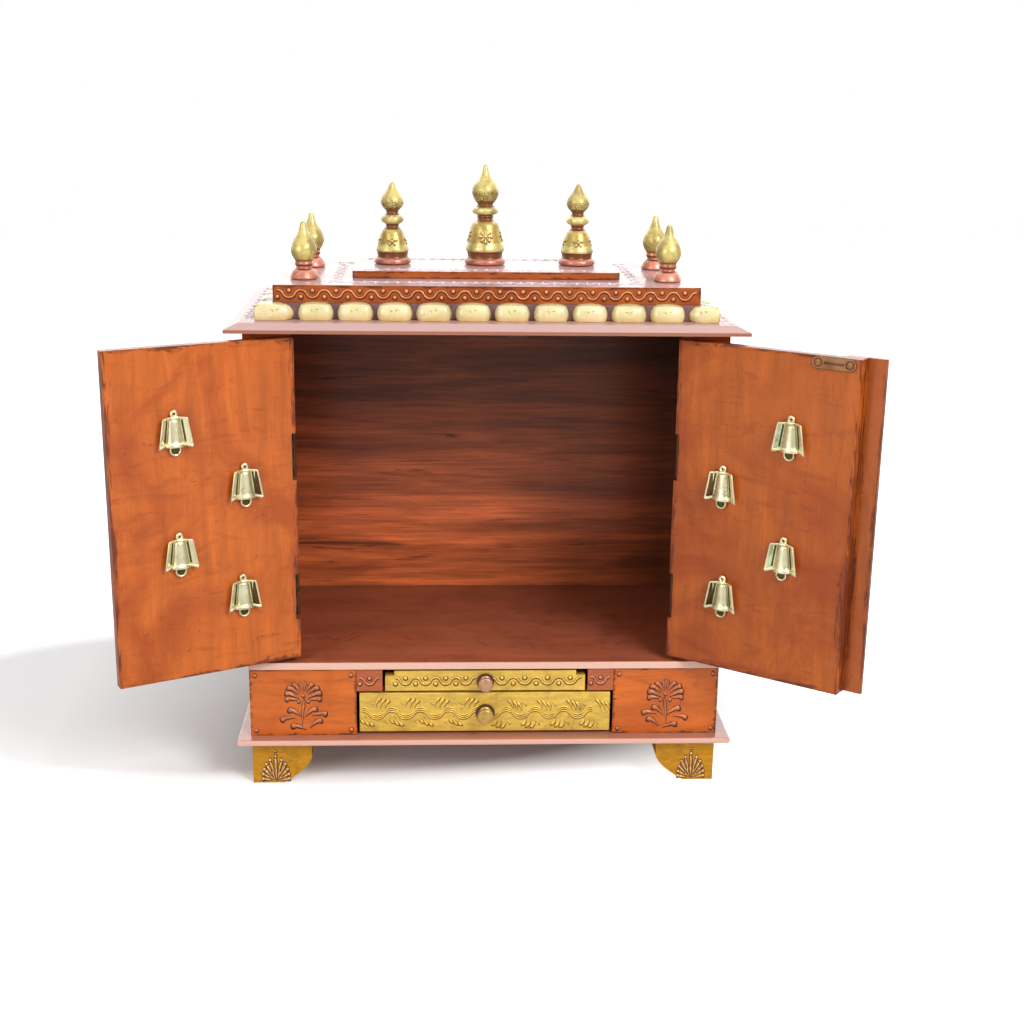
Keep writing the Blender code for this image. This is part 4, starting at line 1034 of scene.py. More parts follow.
class MANDIR_OT_metals(MandirOperator):
    """Gold paint and brass on the CAD pieces that keep their shape"""

    bl_idname = "mandir.metals"
    bl_label = "Gold and brass"

    def execute(self, context):
        c = self.colours
        gold, patina, brass = tuple(c.gold), tuple(c.patina), tuple(c.brass)
        dark = shade(tuple(c.stain_shadow), 0.45)
        for key, name, *measures in (
            ("gold", "antique_gold", gold, patina, 0.45),
            ("gold_relief", "gold_relief", shade(gold, 1.25), patina, 0.15),
            ("raised_gold", "raised_gold", (0.84, 0.66, 0.24), patina, 0.1),
            ("foot_gold", "foot_gold", (0.60, 0.27, 0.004), patina, 0.55, 0.4, 0.05),
            ("foot_relief", "foot_relief", (0.85, 0.50, 0.16), (0.30, 0.10, 0.02), 0.5),
        ):
            FINISHES[key] = gold_paint(name, *measures)
        for key, name, *measures in (
            # The glaze tones colour the dark films under the relief: glaze round it, partly a painted
            # shadow below it.
            ("gold_relief_glaze", "gold_glaze", shade(patina, 0.75), 0.4, 0.2),
            ("raised_gold_glaze", "raised_gold_glaze", shade(patina, 0.9), 0.4, 0.2),
            ("foot_relief_glaze", "foot_glaze", (0.10, 0.03, 0.008), 0.4, 0.2),
            ("copper_relief", "copper_relief", (0.72, 0.24, 0.07), 0.3, 0.8),
            ("copper_relief_glaze", "copper_glaze", (0.10, 0.014, 0.004), 0.4, 0.2),
            ("panel_relief", "panel_relief", (0.50, 0.145, 0.042), 0.3, 0.5),
            ("panel_relief_glaze", "panel_glaze", (0.07, 0.010, 0.003), 0.4, 0.2),
            # Painted sheen: the pale lavender-pink relief on the tops stands in for the white surroundings
            # reflected in the lacquer.
            ("top_relief", "top_relief", (0.84, 0.62, 0.62), 0.3, 1.0),
            ("top_relief_glaze", "top_glaze", (0.34, 0.20, 0.28), 0.3, 0.4),
            # Painted shadow: the dark disc behind the drawer and tray knobs.
            ("knob_seat", "knob_seat", (0.06, 0.022, 0.008), 0.5, 0.1),
            ("strike_rim", "strike_rim", dark),
        ):
            FINISHES[key] = plain_coat(name, *measures)
        for key, name, *measures in (
            ("brass", "cast_brass", brass, (0.34, 0.31, 0.14), 0.45),
            ("tarnish", "tarnish", (0.09, 0.08, 0.025), (0.04, 0.035, 0.012), 0.6, 0.4),
            # Painted shade: a dark skin for the hinge-side wing of the even bells.
            ("bronze", "dark_bronze", (0.15, 0.075, 0.03), (0.03, 0.018, 0.01), 0.7, 0.45),
            ("verdigris", "verdigris", (0.66, 0.72, 0.46), (0.10, 0.14, 0.07), 0.9, 0.4),
            ("drawer_knob", "knob_gold", (0.66, 0.44, 0.13), (0.20, 0.10, 0.03), 0.6, 0.3),
            ("tray_knob", "knob_copper", (0.68, 0.38, 0.22), (0.18, 0.07, 0.04), 0.6, 0.3),
            ("hinge_screw", "hinge_screw", (0.40, 0.25, 0.12), (0.09, 0.05, 0.02), 0.5, 0.35),
            # Painted shade: the hinges' dark bronze stands in for the shadow in the doors' hinge notches.
            ("hinge", "hinge_bronze", (0.16, 0.075, 0.035), (0.05, 0.025, 0.015), 0.7, 0.4),
            ("strike", "strike_bronze", (0.38, 0.18, 0.07), (0.14, 0.06, 0.03), 0.6, 0.4),
        ):
            FINISHES[key] = aged_brass(name, *measures)
        dress("drawer_front", FINISHES["gold"])
        dress("tray", FINISHES["gold"])
        for node in NODES:
            if node.startswith("foot_"):
                dress(node, FINISHES["foot_gold"])
            # The hinges take the dark finish of a painted shade.
            if node.startswith("hinge_"):
                dress(node, FINISHES["hinge"])
        dress("strike_plate", FINISHES["strike"])
        dress("magnet_catch", dull_plastic("catch_plastic", (0.07, 0.035, 0.025)))
        return {"FINISHED"}


class MANDIR_OT_petals(MandirOperator):
    """Pillow-shaped lotus petals round the foot of the roof, mitred at the corners"""

    bl_idname = "mandir.petals"
    bl_label = "Lotus petals"

    def execute(self, context):
        cream = petal_lacquer("petal_cream", tuple(self.colours.cream))
        plum = plain_coat("petal_plum", tuple(self.colours.plum), 0.4, 0.4)
        mark = plain_coat("petal_marks", (0.30, 0.17, 0.06), 0.4, 0.3)
        proud = 2.0 * MM
        x0, x1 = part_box("petals_left")[0].x + proud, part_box("petals_right")[1].x - proud
        y0, y1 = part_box("petals_front")[0].y + proud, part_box("petals_back")[1].y - proud
        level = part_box("petals_front")[0].z
        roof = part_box("roof_box")
        middle = ((x0 + x1) / 2, (y0 + y1) / 2)
        long, short = x1 - x0, y1 - y0
        rows = (
            ("petals_front", long, 12, 40.5 * MM, (middle[0], y0), 0.0, roof[0].y - y0),
            ("petals_back", long, 12, long / 12, (middle[0], y1), pi, y1 - roof[1].y),
            ("petals_left", short, 6, short / 6, (x0, middle[1]), -pi / 2, roof[0].x - x0),
            ("petals_right", short, 6, short / 6, (x1, middle[1]), pi / 2, x1 - roof[1].x),
        )
        for node, length, count, pitch, spot, turn, reach in rows:
            matrix = Matrix.Translation((*spot, level)) @ Matrix.Rotation(turn, 4, "Z")
            row, marks = self.petal_row(length, count, pitch)
            self.mitre(row, length, reach)
            strip = self.backing(length, reach)
            piece = finish_piece(place(row, matrix), node + "_pillows", "cabinet", cream)
            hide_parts(node)
            finish_piece(place(strip, matrix), node + "_backing", "cabinet", plum)
            finish_piece(place(marks, matrix), node + "_marks", "cabinet", mark)
        return {"FINISHED"}

    def pillow(self, width):
        """One petal: a ball squared up a little, cut off flat at its foot."""
        start()
        bpy.ops.mesh.primitive_uv_sphere_add(segments=32, ring_count=20, radius=1.0)
        shape = added()
        modify(shape, "CAST", cast_type="CUBOID", factor=0.42)
        shape.dimensions = (width, 28.0 * MM, 23.0 * MM)
        settle(shape)
        shape.location = (0.0, 12.0 * MM, 5.9 * MM)
        return cut(settle(shape), (0.0, 0.0, 0.0), (0.0, 0.0, 1.0))

    def petal_row(self, length, count, pitch):
        """Petals side by side, the end ones long enough to be mitred, with engraved curls."""
        gap = 3.4 * MM
        petals, curls = [], []
        curl = leaf(4.2 * MM, 1.0 * MM, 0.4 * MM, 110.0)
        for i in range(count):
            left = -length / 2 + i * pitch + gap / 2
            right = left + pitch - gap
            shown = (left + min(right, length / 2)) / 2
            if i == 0:
                left -= pitch
            if i == count - 1:
                right = length / 2 + pitch
            petal = self.pillow(right - left)
            petal.location.x = (left + right) / 2
            settle(petal)
            for shift, level, turn in ((-3.4 * MM, 10.5 * MM, 2.5), (2.6 * MM, 11.2 * MM, 0.6)):
                hit, spot, normal, _ = petal.ray_cast(
                    Vector((shown + shift, -1.0, level)), Vector((0.0, 1.0, 0.0))
                )
                if hit:
                    lie = normal.to_track_quat("Z", "Y").to_matrix().to_4x4()
                    spin = Matrix.Rotation(turn + 0.4 * sin(5.0 * i), 4, "Z")
                    curls.append(twin(curl, Matrix.Translation(spot) @ lie @ spin))
            petals.append(petal)
        discard(curl)
        for piece in curls:
            settle(piece)
        return smooth(joined(petals, "row"), 60.0), joined(curls, "curls")

    def mitre(self, shape, length, reach):
        """Cut both ends at 45 degrees and the back against the roof box."""
        seam = 0.3 * MM
        cuts = (
            ((-length / 2 + seam, 0.0, 0.0), (1.0, -1.0, 0.0)),
            ((length / 2 - seam, 0.0, 0.0), (-1.0, -1.0, 0.0)),
            ((0.0, reach - seam, 0.0), (0.0, -1.0, 0.0)),
        )
        for spot, normal in cuts:
            cut(shape, spot, normal)

    def backing(self, length, reach):
        """The dark strip behind the petals."""
        front, tall = 8.5 * MM, 16.0 * MM
        strip = block((length, reach - front, tall), (0.0, (reach + front) / 2, tall / 2))
        self.mitre(strip, length, reach)
        return bevelled(strip, 0.6 * MM)


class MANDIR_OT_finials(MandirOperator):
    """Turned finials on the cap and vases at the roof's corners"""

    bl_idname = "mandir.finials"
    bl_label = "Finials"

    def execute(self, context):
        gold = (0.60, 0.44, 0.11)
        pale = (0.80, 0.68, 0.26)
        olive = (0.30, 0.18, 0.035)
        bulb = (0.72, 0.58, 0.19)
        brown = (0.20, 0.055, 0.02)
        red = (0.62, 0.22, 0.15)
        patina = (0.17, 0.085, 0.014)
        # Painted shade: the olive band darkens the underside of each bulb and of the vase body.
        tall_bands = (
            (0.0, red), (0.060, brown), (0.136, pale), (0.22, gold), (0.43, brown), (0.497, pale),
            (0.572, brown), (0.612, olive), (0.64, bulb),
        )
        low_bands = (
            (0.0, red), (0.075, brown), (0.153, pale), (0.24, gold), (0.425, brown), (0.49, pale),
            (0.60, brown), (0.655, olive), (0.685, bulb),
        )
        vase_bands = (
            (0.0, shade(red, 1.3)), (0.16, brown), (0.19, red), (0.23, brown), (0.26, red),
            (0.31, olive), (0.345, bulb),
        )
        for name in ("finial_centre", "finial_left", "finial_right"):
            tall = name == "finial_centre"
            if tall:
                self.turn_finial(name, centre_outline(), tall_bands, patina, (0.615, 0.74))
            else:
                self.turn_finial(name, side_outline(), low_bands, patina, (0.655, 0.78))
            self.add_flowers(name, tall)
        for name in NODES:
            if name.startswith("corner_finial"):
                self.turn_finial(name, vase_outline(), vase_bands, patina)
        return {"FINISHED"}

    def turn_finial(self, node, outline, bands, patina, scaly=None):
        low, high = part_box(node)
        spot = ((low.x + high.x) / 2, (low.y + high.y) / 2, low.z)
        height = high.z - low.z
        shape = turned(outline, self.sizes.turned_sides, spot, height, (high.x - low.x) / 2)
        finish = banded_gilding(node + "_gilding", low, high, bands, patina, scaly)
        piece = finish_piece(shape, node + "_turning", "cabinet", finish)
        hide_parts(node)

    def add_flowers(self, node, tall):
        """Embossed flowers round the bell of a finial."""
        low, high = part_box(node)
        centre = Vector(((low.x + high.x) / 2, (low.y + high.y) / 2, low.z))
        height = high.z - low.z
        base = (high.x - low.x) / 2
        level, share, slope = (0.29, 0.775, 0.30) if tall else (0.29, 0.715, 0.38)
        count, size = (8, 7.4) if tall else (5, 5.6)
        shapes = {"petal": leaf(6.0 * MM, 2.3 * MM, 0.9 * MM, 20.0), "eye": boss(1.4 * MM, 1.2 * MM)}
        spots = [("eye", 0.0, 0.0, 0.0, 0.0, 1.0)]
        for i in range(count):
            way = Vector((cos(tau * i / count + pi / 2), sin(tau * i / count + pi / 2)))
            spots.append(stroke("petal", way * size, way * 1.6))
        flower = scatter(shapes, spots, "flower")
        # The flower's glaze film: dark glaze round the petals, partly a painted shadow under them.
        film = flattened(scatter(shapes, spots, "flower_glaze", 1.7))
        discard(*shapes.values())
        rings = {"flowers": (flower, "raised_gold"), "flowers_glaze": (film, "raised_gold_glaze")}
        for key, (shape, tone) in rings.items():
            copies = []
            for i in range(4):
                turn = Matrix.Rotation(tau * i / 4, 4, "Z")
                out = Matrix.Translation((0.0, -base * share, height * level))
                lean = Matrix.Rotation(pi / 2 - slope, 4, "X")
                copies.append(twin(shape, Matrix.Translation(centre) @ turn @ out @ lean))
            discard(shape)
            for copy in copies:
                settle(copy)
            piece = joined(copies, node + "_" + key)
            finish_piece(piece, node + "_" + key, "cabinet", FINISHES[tone])


def centre_outline():
    """Centre finial from its base to its tip, as shares of base radius and height."""
    return (
        (0.96, 0.0), (1.0, 0.010), (1.0, 0.040), (0.95, 0.055), (0.86, 0.062), (0.85, 0.075),
        (0.86, 0.125), (0.93, 0.138), (0.965, 0.155), (0.93, 0.180), (0.86, 0.225),
        (0.79, 0.285), (0.73, 0.335), (0.69, 0.375), (0.66, 0.400), (0.60, 0.418), (0.48, 0.428),
        (0.38, 0.445), (0.36, 0.465), (0.40, 0.475), (0.40, 0.485), (0.36, 0.495),
        (0.52, 0.503), (0.61, 0.516), (0.64, 0.534), (0.635, 0.552), (0.58, 0.566), (0.46, 0.574),
        (0.38, 0.590), (0.36, 0.605), (0.44, 0.622), (0.54, 0.650), (0.62, 0.682),
        (0.655, 0.716), (0.645, 0.748), (0.59, 0.780), (0.48, 0.812), (0.35, 0.840), (0.25, 0.868),
        (0.18, 0.900), (0.145, 0.935), (0.115, 0.970), (0.09, 0.992), (0.0, 1.0),
    )


def side_outline():
    """Side finial, with a fuller bulb nearer its tip."""
    return (
        (0.96, 0.0), (1.0, 0.012), (1.0, 0.050), (0.94, 0.068), (0.84, 0.078), (0.82, 0.090),
        (0.83, 0.145), (0.89, 0.158), (0.91, 0.175), (0.87, 0.200), (0.78, 0.245),
        (0.70, 0.295), (0.64, 0.345), (0.59, 0.385), (0.53, 0.410), (0.42, 0.435),
        (0.34, 0.450), (0.33, 0.475), (0.38, 0.494), (0.52, 0.506), (0.595, 0.525),
        (0.615, 0.550), (0.59, 0.575), (0.50, 0.594), (0.34, 0.608), (0.30, 0.645),
        (0.38, 0.665), (0.51, 0.692), (0.59, 0.724), (0.62, 0.755), (0.61, 0.785),
        (0.55, 0.820), (0.45, 0.852), (0.33, 0.886), (0.23, 0.920), (0.16, 0.960),
        (0.10, 0.992), (0.0, 1.0),
    )


def vase_outline():
    """Corner vase: flared foot, ringed neck, round body and a thin spout."""
    return (
        (0.96, 0.0), (1.0, 0.012), (1.0, 0.040), (0.92, 0.085), (0.80, 0.145), (0.66, 0.168),
        (0.54, 0.185), (0.53, 0.215), (0.62, 0.235), (0.66, 0.265), (0.62, 0.295),
        (0.60, 0.315), (0.70, 0.345), (0.84, 0.400), (0.92, 0.460), (0.94, 0.520),
        (0.90, 0.580), (0.79, 0.640), (0.63, 0.705), (0.46, 0.770), (0.34, 0.830),
        (0.27, 0.890), (0.22, 0.940), (0.19, 0.985), (0.10, 1.0),
    )


class MANDIR_OT_knobs(MandirOperator):
    """Round brass knobs on the drawer, the tray and the doors"""

    bl_idname = "mandir.knobs"
    bl_label = "Knobs"

    def execute(self, context):
        spots = {
            "drawer_knob": ("drawer", Matrix.Identity(3)),
            "tray_knob": ("tray", Matrix.Identity(3)),
            "door_knob_left": ("door_left", Matrix.Rotation(DOOR_OPEN["left"], 3, "Z")),
            "door_knob_right": ("door_right", Matrix.Rotation(DOOR_OPEN["right"], 3, "Z")),
        }
        outline = (
            (0.76, 0.0), (0.78, 0.03), (0.74, 0.10), (0.60, 0.14), (0.44, 0.18), (0.41, 0.24),
            (0.41, 0.40), (0.48, 0.48), (0.80, 0.55), (0.97, 0.64), (1.0, 0.72), (0.99, 0.80),
            (0.93, 0.88), (0.84, 0.925), (0.80, 0.915), (0.70, 0.925), (0.52, 0.965),
            (0.28, 0.99), (0.0, 1.0),
        )
        for node, (body, turn) in spots.items():
            low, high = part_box(node)
            middle = (low + high) / 2
            out = turn @ Vector((0.0, -1.0, 0.0))
            radius = (high.z - low.z) / 2 * {"tray": 0.85, "drawer": 0.93}.get(body, 1.0)
            length = 1.8 * radius if body in ("drawer", "tray") else 16.5 * MM
            shape = turned(outline, 24, (0.0, 0.0, 0.0), length, radius)
            seat = middle - out * length / 2
            place(shape, Matrix.Translation(seat) @ turn.to_4x4() @ Matrix.Rotation(pi / 2, 4, "X"))
            metal = FINISHES.get(node, FINISHES["brass"])
            piece = finish_piece(shape, node + "_turning", body, metal)
            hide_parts(node)
            # Painted shadow: a thin dark disc, set a little low behind the drawer and tray knobs, stands in
            # for each knob's shadow.
            if body in ("drawer", "tray"):
                start()
                bpy.ops.mesh.primitive_cylinder_add(
                    vertices=32, radius=1.14 * radius, depth=0.5 * MM, rotation=(pi / 2, 0.0, 0.0),
                    location=seat + Vector((0.0, -0.2 * MM, -0.8 * MM)),
                )
                ring = bevelled(added(), 0.2 * MM)
                finish_piece(smooth(ring), node + "_seat", body, FINISHES["knob_seat"])
        return {"FINISHED"}


class MANDIR_OT_bells(MandirOperator):
    """Cast brass bells on winged plates, four on each door"""

    bl_idname = "mandir.bells"
    bl_label = "Door bells"

    def execute(self, context):
        casting, wings = self.casting()
        lines = self.recesses()
        for side, s in SIDES:
            matrix = door_matrix(side)
            for i in range(1, 5):
                node = "bell_%s_%d" % (side, i)
                low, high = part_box(node)
                middle = matrix.inverted() @ ((low + high) / 2)
                spot = Vector((middle.x, 13.3 * MM, middle.z - (high.z - low.z) / 2))
                stand = matrix @ Matrix.Translation(spot)
                body = "door_" + side
                piece = twin(casting, stand)
                finish_piece(piece, node + "_casting", body, FINISHES["brass"])
                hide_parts(node)
                # Tarnish with painted shade in the hollows beside the bell, and a painted shadow inside the
                # clapper loop.
                dark = twin(lines, stand)
                finish_piece(dark, node + "_recesses", body, FINISHES["tarnish"])
                # On the even bells the hinge-side wing gets a painted shade; on the right door's odd bells
                # it gets green verdigris.
                if side == "left" and i % 2 == 1:
                    continue
                skin = twin(wings[s], stand)
                metal = FINISHES["verdigris" if i % 2 else "bronze"]
                finish_piece(skin, node + "_wing", body, metal)
        discard(casting, lines, *wings.values())
        return {"FINISHED"}

    def casting(self):
        """Plate, half-round bell, ear and clapper loop, and the skins of its two wings."""
        plate = self.plate()
        wings = {s: self.wing(plate, s) for s in (-1, 1)}
        parts = [
            plate, self.shell(), self.ring((0.0, 3.0 * MM, 43.2 * MM), 2.7, 1.6),
            self.ring((0.0, 3.4 * MM, 6.5 * MM), 5.2, 1.0),
            rod(
                Vector((-3.6 * MM, 4.4 * MM, 39.6 * MM)), Vector((3.6 * MM, 4.4 * MM, 39.6 * MM)),
                2.0 * MM,
            ),
        ]
        for s in (-1, 1):
            tip = Vector((s * 17.0 * MM, 7.6 * MM, 10.4 * MM))
            ear = Vector((s * 12.2 * MM, 7.0 * MM, 38.8 * MM))
            parts.append(rod(tip, ear, 1.1 * MM))
            parts.append(rod(Vector((s * 8.0 * MM, 3.4 * MM, 12.6 * MM)), tip, 1.7 * MM))
            parts.append(rod(Vector((s * 3.0 * MM, 3.0 * MM, 39.6 * MM)), ear, 1.2 * MM))
        return smooth(outward(joined(parts, "bell_casting")), 45.0), wings

    def wing(self, plate, s):
        """A skin over one wing, for a painted shade on some bells and green verdigris on others."""
        skin = settle(twin(plate, Matrix.Translation((0.0, 0.25 * MM, 0.0))))
        cut(skin, (s * 9.6 * MM, 0.0, 0.0), (s, 0.0, 0.0), fill=False)
        return smooth(skin, 45.0)

    def plate(self):
        """A grid drawn into a bell shape, its wings folded forward and its foot scalloped."""
        columns, rows = 18, 8
        wide, foot, head = 36.0 * MM, 8.5 * MM, 39.5 * MM
        start()
        bpy.ops.mesh.primitive_grid_add(
            x_subdivisions=columns, y_subdivisions=rows, size=1.0, rotation=(pi / 2, 0.0, 0.0)
        )
        shape = bpy.context.active_object
        shape.scale = (wide, head - foot, 1.0)
        shape.location.z = (head + foot) / 2
        settle(shape)
        near = 0.1 * MM
        for i in range(columns + 1):
            x = -wide / 2 + wide * i / columns
            fold = max(0.0, abs(x) - 8.0 * MM) * 0.6
            shift(shape, lambda co: abs(co.x - x) < near, (0.0, fold, 0.0))
            scallop = 3.6 * MM * abs(sin(pi * x / (wide / 2)))
            shift(
                shape, lambda co: abs(co.x - x) < near and co.z < foot + near, (0.0, 0.0, scallop)
            )
        for j in range(1, rows + 1):
            level = foot + (head - foot) * j / rows
            narrow = 1.0 - 0.30 * (j / rows)
            stretch(
                shape, lambda co: abs(co.z - level) < near, (narrow, 1.0, 1.0), (0.0, 0.0, level)
            )
        modify(shape, "SOLIDIFY", thickness=1.6 * MM, offset=-1.0)
        return bevelled(shape, 0.4 * MM)

    def shell(self):
        """The bell, turned whole and halved, then pressed a little flatter."""
        outline = (
            (0.80, 0.0), (0.97, 0.0), (1.0, 0.03), (1.0, 0.085), (0.96, 0.12), (0.84, 0.14),
            (0.79, 0.19), (0.73, 0.32), (0.67, 0.52), (0.62, 0.72), (0.585, 0.86),
            (0.52, 0.94), (0.36, 0.985), (0.0, 1.0),
        )
        shape = turned(outline, 24, (0.0, 0.0, 9.5 * MM), 29.5 * MM, 11.8 * MM)
        cut(shape, (0.0, 0.0, 0.0), (0.0, 1.0, 0.0))
        shape.scale.y = 0.72
        shape.location.y = 1.0 * MM
        return settle(shape)

    def ring(self, spot, major, minor):
        """A cast ring that stands upright on the plate."""
        start()
        bpy.ops.mesh.primitive_torus_add(
            major_segments=24, minor_segments=8, major_radius=major * MM,
            minor_radius=minor * MM, location=spot, rotation=(pi / 2, 0.0, 0.0),
        )
        return added()

    def recesses(self):
        """Dark lines in the hollows beside the bell, tarnish with painted shade, and a painted shadow
        inside the clapper loop.
        """
        strips = []
        for s in (-1, 1):
            low = Vector((s * 10.9 * MM, 3.6 * MM, 14.5 * MM))
            high = Vector((s * 7.9 * MM, 3.4 * MM, 37.5 * MM))
            strips.append(rod(low, high, 1.2 * MM))
        start()
        bpy.ops.mesh.primitive_cylinder_add(
            vertices=20, radius=4.4 * MM, depth=1.0 * MM, location=(0.0, 2.6 * MM, 6.8 * MM),
            rotation=(pi / 2, 0.0, 0.0),
        )
        strips.append(added())
        return smooth(joined(strips, "bell_recesses"), 40.0)


def rod(low, high, radius):
    """A round rod between two points."""
    start()
    bpy.ops.mesh.primitive_cylinder_add(
        vertices=10, radius=radius, depth=(high - low).length, location=(low + high) / 2,
        rotation=(high - low).to_track_quat("Z", "Y").to_euler(),
    )
    return smooth(bevelled(added(), radius * 0.45), 40.0)


class MANDIR_OT_roof_scrolls(MandirOperator):
    """Wave-and-dot bands round the roof box and on the roof's flat margins"""

    bl_idname = "mandir.roof_scrolls"
    bl_label = "Roof scrolls"

    def execute(self, context):
        low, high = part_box("roof_box")
        level = high.z - 9.0 * MM
        middle = (low + high) / 2
        period = self.sizes.scroll_period
        for side, spot, length in (
            ("front", (middle.x, low.y, level), high.x - low.x),
            ("back", (middle.x, high.y, level), high.x - low.x),
            ("left", (low.x, middle.y, level), high.y - low.y),
            ("right", (high.x, middle.y, level), high.y - low.y),
        ):
            count = round((length - 4 * MM) / period - 0.5)
            fitted = min((length - 5 * MM) / count, period * 1.03)
            matrix = facing(Vector(spot), side)
            lay_scroll(
                "roof_scroll_" + side, "cabinet", matrix, "copper_relief", "stained_wood", count, fitted
            )
        self.add_margins(middle)
        return {"FINISHED"}

    def add_margins(self, middle):
        """Bands on the tops of the cap, the roof box and the eave's ends."""
        cap_low, cap_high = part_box("roof_cap")
        box_low, box_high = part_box("roof_box")
        eave_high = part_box("eave_board")[1]
        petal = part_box("petals_left")[0].x - 8 * MM
        rows = (
            ("cap_scroll_front", (middle.x, cap_low.y + 13 * MM, cap_high.z), 0.0, 11),
            ("cap_scroll_back", (middle.x, cap_high.y - 13 * MM, cap_high.z), 0.0, 11),
            ("roof_margin_front", (middle.x, box_low.y + 26 * MM, box_high.z), 0.0, 14),
            ("roof_margin_back", (middle.x, box_high.y - 11 * MM, box_high.z), 0.0, 14),
            ("roof_margin_left", (cap_low.x - 16 * MM, middle.y, box_high.z), 90.0, 7),
            ("roof_margin_right", (cap_high.x + 16 * MM, middle.y, box_high.z), 90.0, 7),
            ("eave_scroll_left", (petal, middle.y, eave_high.z), 90.0, 11),
            ("eave_scroll_right", (2 * MIDDLE - petal, middle.y, eave_high.z), 90.0, 11),
        )
        for name, spot, turn, count in rows:
            flat = Matrix.Diagonal((1.0, 1.0, 0.6, 1.0))
            matrix = Matrix.Translation(spot) @ Matrix.Rotation(radians(turn), 4, "Z") @ flat
            lay_scroll(name, "cabinet", matrix, "top_relief", "stained_wood", count)


class MANDIR_OT_tray_scroll(MandirOperator):
    """Wave-and-dot band on the tray front and on the rails beside it"""

    bl_idname = "mandir.tray_scroll"
    bl_label = "Tray scroll"

    def execute(self, context):
        low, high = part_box("tray")
        middle = Vector(((low.x + high.x) / 2, low.y, low.z + 11.4 * MM))
        runs = (("left", -54.5 * MM, 22.0 * MM), ("right", 55.5 * MM, 25.0 * MM))
        for side, shift, period in runs:
            matrix = facing(middle + Vector((shift, 0.0, 0.0)))
            lay_scroll("tray_scroll_" + side, "tray", matrix, "gold_relief", "gold_paint", 4, period)
        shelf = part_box("tray_shelf")
        for side, s in SIDES:
            matrix = facing(Vector((MIDDLE + s * 126.6 * MM, shelf[0].y, middle.z)))
            lay_scroll(
                "rail_scroll_" + side, "cabinet", matrix, "copper_relief", "stained_wood", 1, 21.5 * MM
            )
        return {"FINISHED"}


class MANDIR_OT_drawer_scroll(MandirOperator):
    """Triple wave with leaf sprays on the drawer front"""

    bl_idname = "mandir.drawer_scroll"
    bl_label = "Drawer scroll"

    def execute(self, context):
        low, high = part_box("drawer_front")
        middle = Vector(((low.x + high.x) / 2, low.y, (low.z + high.z) / 2 - 0.8 * MM))
        period = 31.6 * MM
        count = 8
        lines, shadows = [], []
        for lift in (-2.3 * MM, 0.0, 2.3 * MM):
            for thick, group in ((1.3 * MM, lines), (2.1 * MM, shadows)):
                line = wave_line(period, 4.6 * MM, thick, count)
                line.location = (-8.2 * MM - period * count / 2, lift, 0.0)
                group.append(settle(line))
        shapes = {
            "leaf": leaf(9.0 * MM, 2.9 * MM, self.sizes.relief, 70.0),
            "curl": leaf(6.0 * MM, 1.6 * MM, 0.8 * MM, 75.0),
        }
        half = []
        for i in range(4):
            half += self.spray(-(16.5 + 32.4 * i), 12.5, 1)
            half += self.spray(-(34.0 + 32.4 * i), -9.5, -1)
        spots = half + [(key, -x, -y, turn + pi, size, wide) for key, x, y, turn, size, wide in half]
        lay_carving(
            "drawer_scroll", "drawer", facing(middle), "gold_relief", shapes, spots,
            lines, shadows,
        )
        return {"FINISHED"}

    def spray(self, x, y, lean):
        """Three nested crescents, the outer ones lower, with a small curl before them."""
        spots = []
        for i, reach in enumerate((4.6, 5.2, 4.6)):
            across = x + (i - 1) * 4.9
            level = y - (i - 1) * 1.5
            top = (across + 2.6 * lean, level + reach)
            foot = (across - 2.6 * lean, level - reach)
            if lean > 0:
                spots.append(stroke("leaf", top, foot, 1))
            else:
                spots.append(stroke("leaf", foot, top, -1))
        if x > -120.0:
            spots.append(stroke("curl", (x - 12.0, y + 1.0), (x - 8.0, y - 3.0), 1))
        return spots


